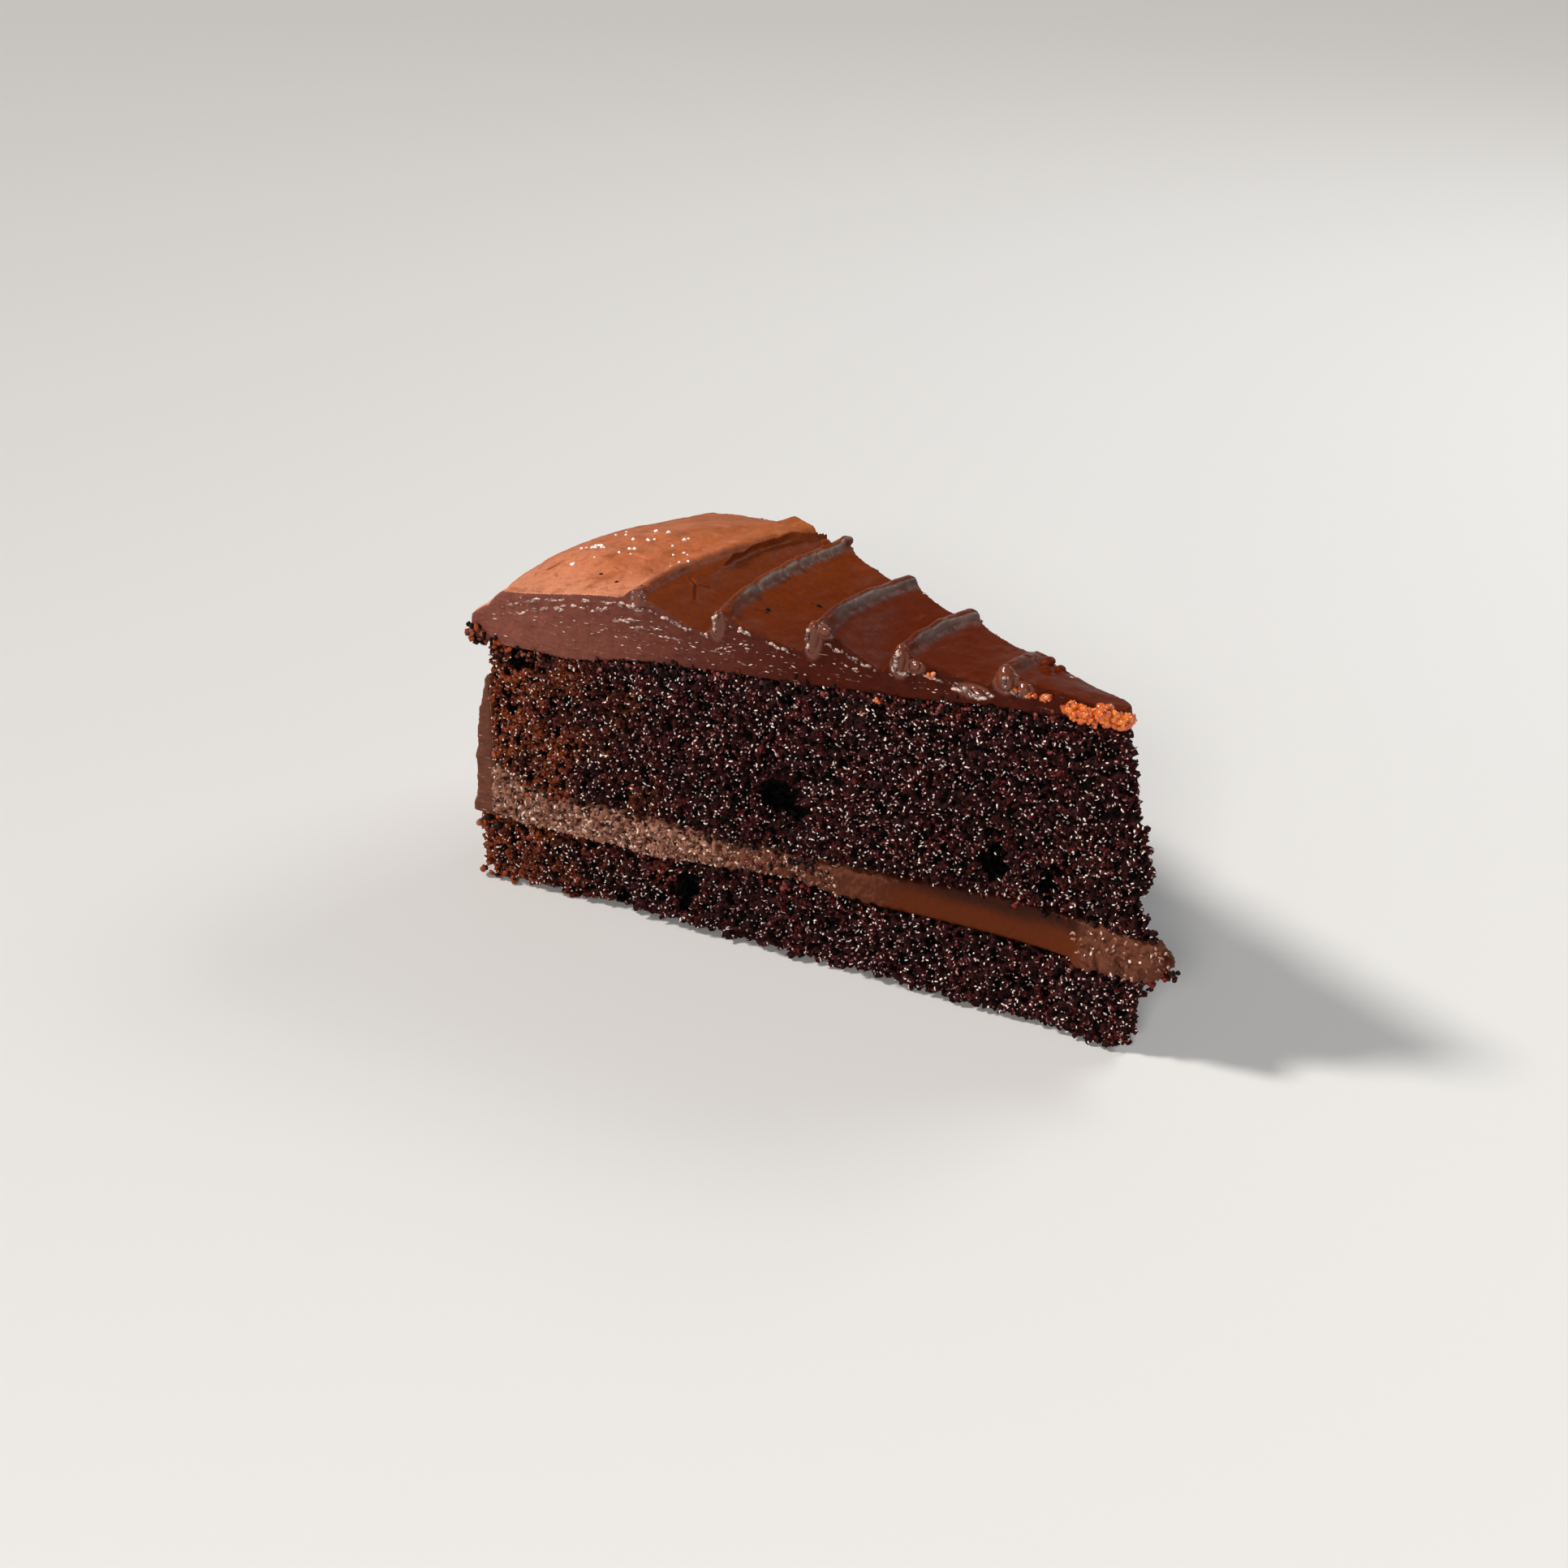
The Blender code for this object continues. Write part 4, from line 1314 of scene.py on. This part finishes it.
def frostingFinish():
    look = frostingLook
    finish = Finish("combedFrosting", Specular_IOR_Level=0.05, Coat_Roughness=0.2)
    place = finish.objectPlace()
    y, z = finish.axis(place, "Y"), finish.axis(place, "Z")
    normal = finish.node("ShaderNodeNewGeometry", output="Normal")
    up = finish.step(finish.axis(normal, "Z"), 0.25, 0.55) * finish.step(z, 0.05, 0.054)
    broad = finish.noise(place, 14, 3)
    fine = finish.noise(place, 0.8, 4, 0.6)
    patches = finish.noise(place, 3.6, 4, 0.7, 0.6)
    mottled = finish.noise(place, 2.6, 4, 0.7)
    distance = finish.fromMiddle(place)

    # the outer ring: its own colour, with painted light making it paler at the near cut
    nearHalf = finish.step(y + (broad - 0.5) * 0.03, -0.03, -0.004)
    ring = finish.mixed(look["ring"], look["ringMiddle"], nearHalf)
    ring = finish.mixed(ring, look["ringFar"], finish.step(y + (broad - 0.5) * 0.02, -0.004, 0.025))
    ring = finish.mixed(ring, look["ringDark"], finish.step(patches, 0.48, 0.7) * 0.75)
    ring = finish.mixed(ring, look["ringLight"], finish.step(patches, 0.5, 0.25) * 0.3)

    # the combed part, darker to the tip, with a grey reflection painted on the faces of the lips
    inward = finish.step(distance + (broad - 0.5) * 3, 94.5, 91)
    combed = finish.mixed(look["scallop"], look["tip"], finish.step(distance, 85, 50))
    lines = finish.stretched(place, (1, 0.2, 1))
    # painted sheen: milky streaks on the combed part
    paintedSheen = finish.step(finish.noise(lines, 2.2, 3, 0.65), 0.52, 0.8)
    combed = finish.mixed(combed, look["paintedSheen"], paintedSheen * 0.12)
    # painted reflection: a grey band on the tip-side faces of the lips
    face = finish.kept("paintedLipSheen")
    sheen = finish.step(finish.noise(lines, 2.4, 3, 0.6), 0.3, 0.7)
    lit = finish.mixed(look["face"], look["faceLight"], (0.25 + 0.55 * sheen) * face)
    combed = finish.mixed(combed, lit, face)

    # the cut faces, streaked along their length, with painted highlights on the streaks and painted shade
    # in dark specks
    cut = finish.mixed(look["cut"], look["cutTip"], finish.step(distance, 124, 54))
    along = finish.noise(finish.stretched(place, (0.16, 0.16, 1)), 0.5, 3, 0.6)
    low = finish.step(distance, 121, 124) * finish.step(z, 0.052, 0.048)
    # painted highlight: pale streaks along the cut
    streakGlint = finish.step(along, 0.62, 0.72) * finish.step(fine, 0.4, 0.6) * 0.35
    cut = finish.mixed(cut, look["skirt"], low)
    # painted shade: dark specks on the cut
    cut = finish.mixed(cut, look["cutPitShade"], finish.step(along, 0.42, 0.32) * 0.35)
    cut = finish.mixed(cut, look["streakGlint"], streakGlint)

    # all together
    onCutFace = finish.step(finish.kept("onCut") + (patches - 0.5) * 0.7, 0.3, 0.7)
    # painted highlight along the edge between the ring's top and its cut faces
    edge = onCutFace * (1 - onCutFace) * 4 * finish.step(distance, 92, 99) * finish.step(fine, 0.3, 0.55)
    glossy = finish.kept("glossy")
    tone = finish.mixed(ring, combed, inward)
    tone = finish.mixed(tone, look["rim"], finish.step(distance, 119, 123) * (1 - up))
    tone = finish.mixed(tone, cut, onCutFace)
    tone = finish.mixed(tone, look["ringEdgeHighlight"], edge * 0.7)
    tone = finish.mixed(tone, finish.mixed(*look["mottle"], mottled), 0.45, "OVERLAY")
    tone = finish.mixed(tone, finish.mixed(*look["mottle"], fine), 0.35, "OVERLAY")
    tone = finish.mixed(tone, look["curl"], glossy * 0.8)
    roughness = 0.5 - 0.16 * inward * up - 0.15 * glossy
    shine = 0.08 * face + 0.7 * glossy
    grit = finish.bump(fine + mottled * 0.9, 0.26, 0.7 - 0.4 * inward * up)
    return finish.feed(Base_Color=tone, Roughness=roughness, Normal=grit, Coat_Weight=shine)


def flakeFinish():
    look = frostingLook
    finish = Finish("glossyFlakes", Specular_IOR_Level=0.7, Coat_Weight=0.7, Coat_Roughness=0.12)
    distance = finish.fromMiddle(finish.objectPlace())
    tone = finish.kept("tone")
    colour = finish.mixed(look["cut"], look["cutTip"], finish.step(distance, 124, 54))
    # painted highlights: the paler flakes
    colour = finish.mixed(colour, look["streakGlint"], finish.step(tone, 0.35, 1) * 0.8)
    return finish.feed(Base_Color=colour, Roughness=0.4 - 0.2 * tone)


creamLook = {
    "rough": (0.35, 0.155, 0.1),
    "shade": (0.03, 0.008, 0.004),
    "smooth": (0.085, 0.014, 0.001),
    # painted shade under the overhanging crumb
    "smoothUnderShade": (0.03, 0.005, 0.001),
    "crumbly": (0.105, 0.03, 0.015),
    "smear": (0.12, 0.04, 0.022),
    # painted highlight: glints on the torn bits
    "bitGlint": (0.72, 0.53, 0.43),
}


def creamFinish():
    look = creamLook
    finish = Finish("chocolateCream", Specular_IOR_Level=0.06, Coat_Roughness=0.25)
    place = finish.objectPlace()
    fine = finish.noise(place, 0.7, 4, 0.6)
    scraped = finish.kept("scraped")
    distance = finish.fromMiddle(place)
    raised = finish.kept("raised") + (fine - 0.5) * 0.5
    patches = finish.noise(place, 3.2, 3, 0.6)
    lightest = finish.mixed(look["rough"], look["crumbly"], finish.step(patches, 0.44, 0.62) * 0.6)
    # painted shade: the low points of the torn relief are darkened
    rough = finish.mixed(look["shade"], lightest, finish.step(raised, -0.36, 0.26))
    tone = finish.mixed(look["crumbly"], rough, finish.step(distance + (fine - 0.5) * 30, 62, 84))
    tone = finish.mixed(tone, look["smear"], finish.step(distance, 14, 9) * finish.step(fine, 0.35, 0.6))
    # painted shade: the scraped band darkens towards its top, under the overhanging crumb
    height = finish.axis(place, "Z") / mm + (finish.noise(place, 9, 2) - 0.5) * 3
    smooth = finish.mixed(look["smoothUnderShade"], look["smooth"], finish.step(height, 21.4, 18.6))
    tone = finish.mixed(tone, smooth, scraped)
    roughness, shine = 0.55 - 0.22 * scraped, 0.1 * scraped
    return finish.feed(
        Base_Color=tone, Roughness=roughness, Normal=finish.bump(fine, 0.15, 0.7), Coat_Weight=shine
    )


def creamBitFinish():
    finish = Finish("tornBits", Specular_IOR_Level=0.4, Coat_Roughness=0.15)
    tone = finish.kept("tone")
    colour = finish.mixed(creamLook["crumbly"], creamLook["rough"], finish.step(tone, 0.2, 0.7))
    colour = finish.mixed(creamLook["shade"], colour, finish.step(tone, 0, 0.15))
    # painted highlights: the palest bits stand in for glints
    colour = finish.mixed(colour, creamLook["bitGlint"], finish.step(tone, 0.72, 0.92))
    return finish.feed(Base_Color=colour, Roughness=0.55 - 0.25 * tone, Coat_Weight=0.5 * tone)


toffeeLook = {
    "deep": (0.55, 0.07, 0.005),
    "bright": (0.85, 0.22, 0.02),
    "burnt": (0.24, 0.022, 0.003),
    "milky": (0.6, 0.33, 0.22),
}


def toffeeFinish():
    look = toffeeLook
    finish = Finish("stickyToffee", Specular_IOR_Level=0.3, Coat_Weight=0.8, Coat_Roughness=0.08)
    place = finish.objectPlace()
    tone = finish.kept("tone")
    spots = finish.noise(place, 0.8, 3, 0.6)
    colour = finish.mixed(look["deep"], look["bright"], tone)
    colour = finish.mixed(colour, look["burnt"], finish.step(spots, 0.48, 0.66))
    milky = finish.step(finish.fromMiddle(place), 12, 22) * finish.step(tone, 0.45, 0.6)
    colour = finish.mixed(colour, look["milky"], milky * 0.6)
    return finish.feed(Base_Color=colour, Roughness=0.35 - 0.1 * tone)


def sugarFinish():
    finish = Finish("whiteSugar", Base_Color=(0.93, 0.9, 0.88, 1), Roughness=0.25, Specular_IOR_Level=0.6)
    return finish.material


frostingPiece = makeFrosting()
finished(frostingPiece, frostingFinish(), "icing", "icing", "side_icing")
print("frosting made", len(frostingPiece.data.polygons))
upperCrumb = makeCrumb("upper_sponge", "upperCrumb")
lowerCrumb = makeCrumb("lower_sponge", "lowerCrumb")
darkCrumb = crumbFinish()
finished(upperCrumb, darkCrumb, "sponge", "upper_sponge")
finished(lowerCrumb, darkCrumb, "sponge", "lower_sponge")
print("crumb made", len(upperCrumb.data.polygons), len(lowerCrumb.data.polygons))
creamPiece = makeCream()
finished(creamPiece, creamFinish(), "filling", "filling")
print("cream made", len(creamPiece.data.polygons))
dressed = [upperCrumb, lowerCrumb, frostingPiece, creamPiece]
upperGrains, lowerGrains = makeGrains(dressed, ["upperGrains", "lowerGrains"])
standingGrains = grainFinish()
finished(upperGrains, standingGrains, "sponge")
finished(lowerGrains, standingGrains, "sponge")
print("grains made", len(upperGrains.data.polygons), len(lowerGrains.data.polygons))
frostingTree = treeOf(frostingPiece)
toffeePiece = makeToffee()
finished(toffeePiece, toffeeFinish(), "icing")
sugarPiece = makeSugar(frostingTree)
finished(sugarPiece, sugarFinish(), "icing")
flakePiece = makeFlakes([frostingTree, treeOf(upperCrumb)])
finished(flakePiece, flakeFinish(), "icing")
bitPiece = makeCreamBits([treeOf(creamPiece), treeOf(upperCrumb), treeOf(lowerCrumb)])
finished(bitPiece, creamBitFinish(), "filling")
loosePiece = makeLooseCrumbs(frostingTree)
finished(loosePiece, standingGrains, "sponge")
toppings = (toffeePiece, sugarPiece, flakePiece, bitPiece, loosePiece)
print("toppings made", [len(piece.data.polygons) for piece in toppings])


# A pale floor, soft boxes and the camera.
studio = {
    "floorSize": 12,
    "floorColour": (0.72, 0.71, 0.695),
    "worldLight": (0.1, 0.62),  # overhead, near the horizon
    "worldFade": (0.1, 0.4),  # from the horizon's light to the overhead one, as the height of the direction
    "worldColour": (1, 0.98, 0.96),
    # name, comes from, strength, spread in degrees, colour
    "suns": (("keySun", (-0.55, -0.42, 0.72), 2.8, 10, (1, 0.97, 0.93)),),
    # name, place, size, watts, colour
    "boxes": (
        ("backBox", (0.19, 0.71, 0.66), (0.5, 0.3), 3.2, (0.92, 0.96, 1)),
        ("frontBox", (0.45, -0.85, 0.5), (0.2, 0.2), 5, (1, 0.98, 0.95)),
    ),
    "lightAim": (0, 0, 0.04),
    "cameraFromMiddle": (162.62, -269.28, 203.19),
    "cameraTurn": (41.49, 63.45, 0.80),  # heading, pitch from straight down, roll
    "lens": 50,
    "sensor": 36,
}


def makeFloor():
    bpy.ops.mesh.primitive_plane_add(size=studio["floorSize"])
    floor = bpy.context.object
    floor.name = "paleFloor"
    finish = Finish("paleFloor", Base_Color=(*studio["floorColour"], 1), Roughness=0.7)
    floor.data.materials.append(finish.material)


def aimed(lamp, name, place, colour):
    lamp.name = name
    lamp.data.color = colour
    lamp.rotation_euler = (Vector(studio["lightAim"]) - Vector(place)).to_track_quat("-Z", "Y").to_euler()


def makeLights():
    for name, place, strength, spread, colour in studio["suns"]:
        bpy.ops.object.light_add(type="SUN", location=place)
        lamp = bpy.context.object
        lamp.data.energy = strength
        lamp.data.angle = math.radians(spread)
        aimed(lamp, name, place, colour)
    for name, place, size, power, colour in studio["boxes"]:
        bpy.ops.object.light_add(type="AREA", location=place)
        lamp = bpy.context.object
        lamp.data.shape = "RECTANGLE"
        lamp.data.size, lamp.data.size_y = size
        lamp.data.energy = power
        aimed(lamp, name, place, colour)
    world = bpy.data.worlds.new("softRoom")
    world.use_nodes = True
    background = world.node_tree.nodes["Background"]
    overhead, horizon = studio["worldLight"]
    start, end = studio["worldFade"]
    way = world.node_tree.nodes.new("ShaderNodeTexCoord")
    parts = world.node_tree.nodes.new("ShaderNodeSeparateXYZ")
    fade = world.node_tree.nodes.new("ShaderNodeMapRange")
    for key, value in {"From Min": start, "From Max": end, "To Min": horizon, "To Max": overhead}.items():
        fade.inputs[key].default_value = value
    world.node_tree.links.new(way.outputs["Generated"], parts.inputs["Vector"])
    world.node_tree.links.new(parts.outputs["Z"], fade.inputs["Value"])
    world.node_tree.links.new(fade.outputs["Result"], background.inputs["Strength"])
    background.inputs["Color"].default_value = (*studio["worldColour"], 1)
    bpy.context.scene.world = world
    bpy.context.scene.view_settings.view_transform = "Standard"


def makeCamera():
    x, y, z = studio["cameraFromMiddle"]
    heading, pitch, roll = (math.radians(angle) for angle in studio["cameraTurn"])
    turn = Matrix.Rotation(heading, 4, "Z") @ Matrix.Rotation(pitch, 4, "X") @ Matrix.Rotation(roll, 4, "Z")
    bpy.ops.object.camera_add()
    camera = bpy.context.object
    camera.matrix_world = Matrix.Translation(Vector((middleX + x, y, z)) * mm) @ turn
    camera.data.lens = studio["lens"]
    camera.data.sensor_width = studio["sensor"]
    bpy.context.scene.camera = camera


makeFloor()
makeLights()
makeCamera()
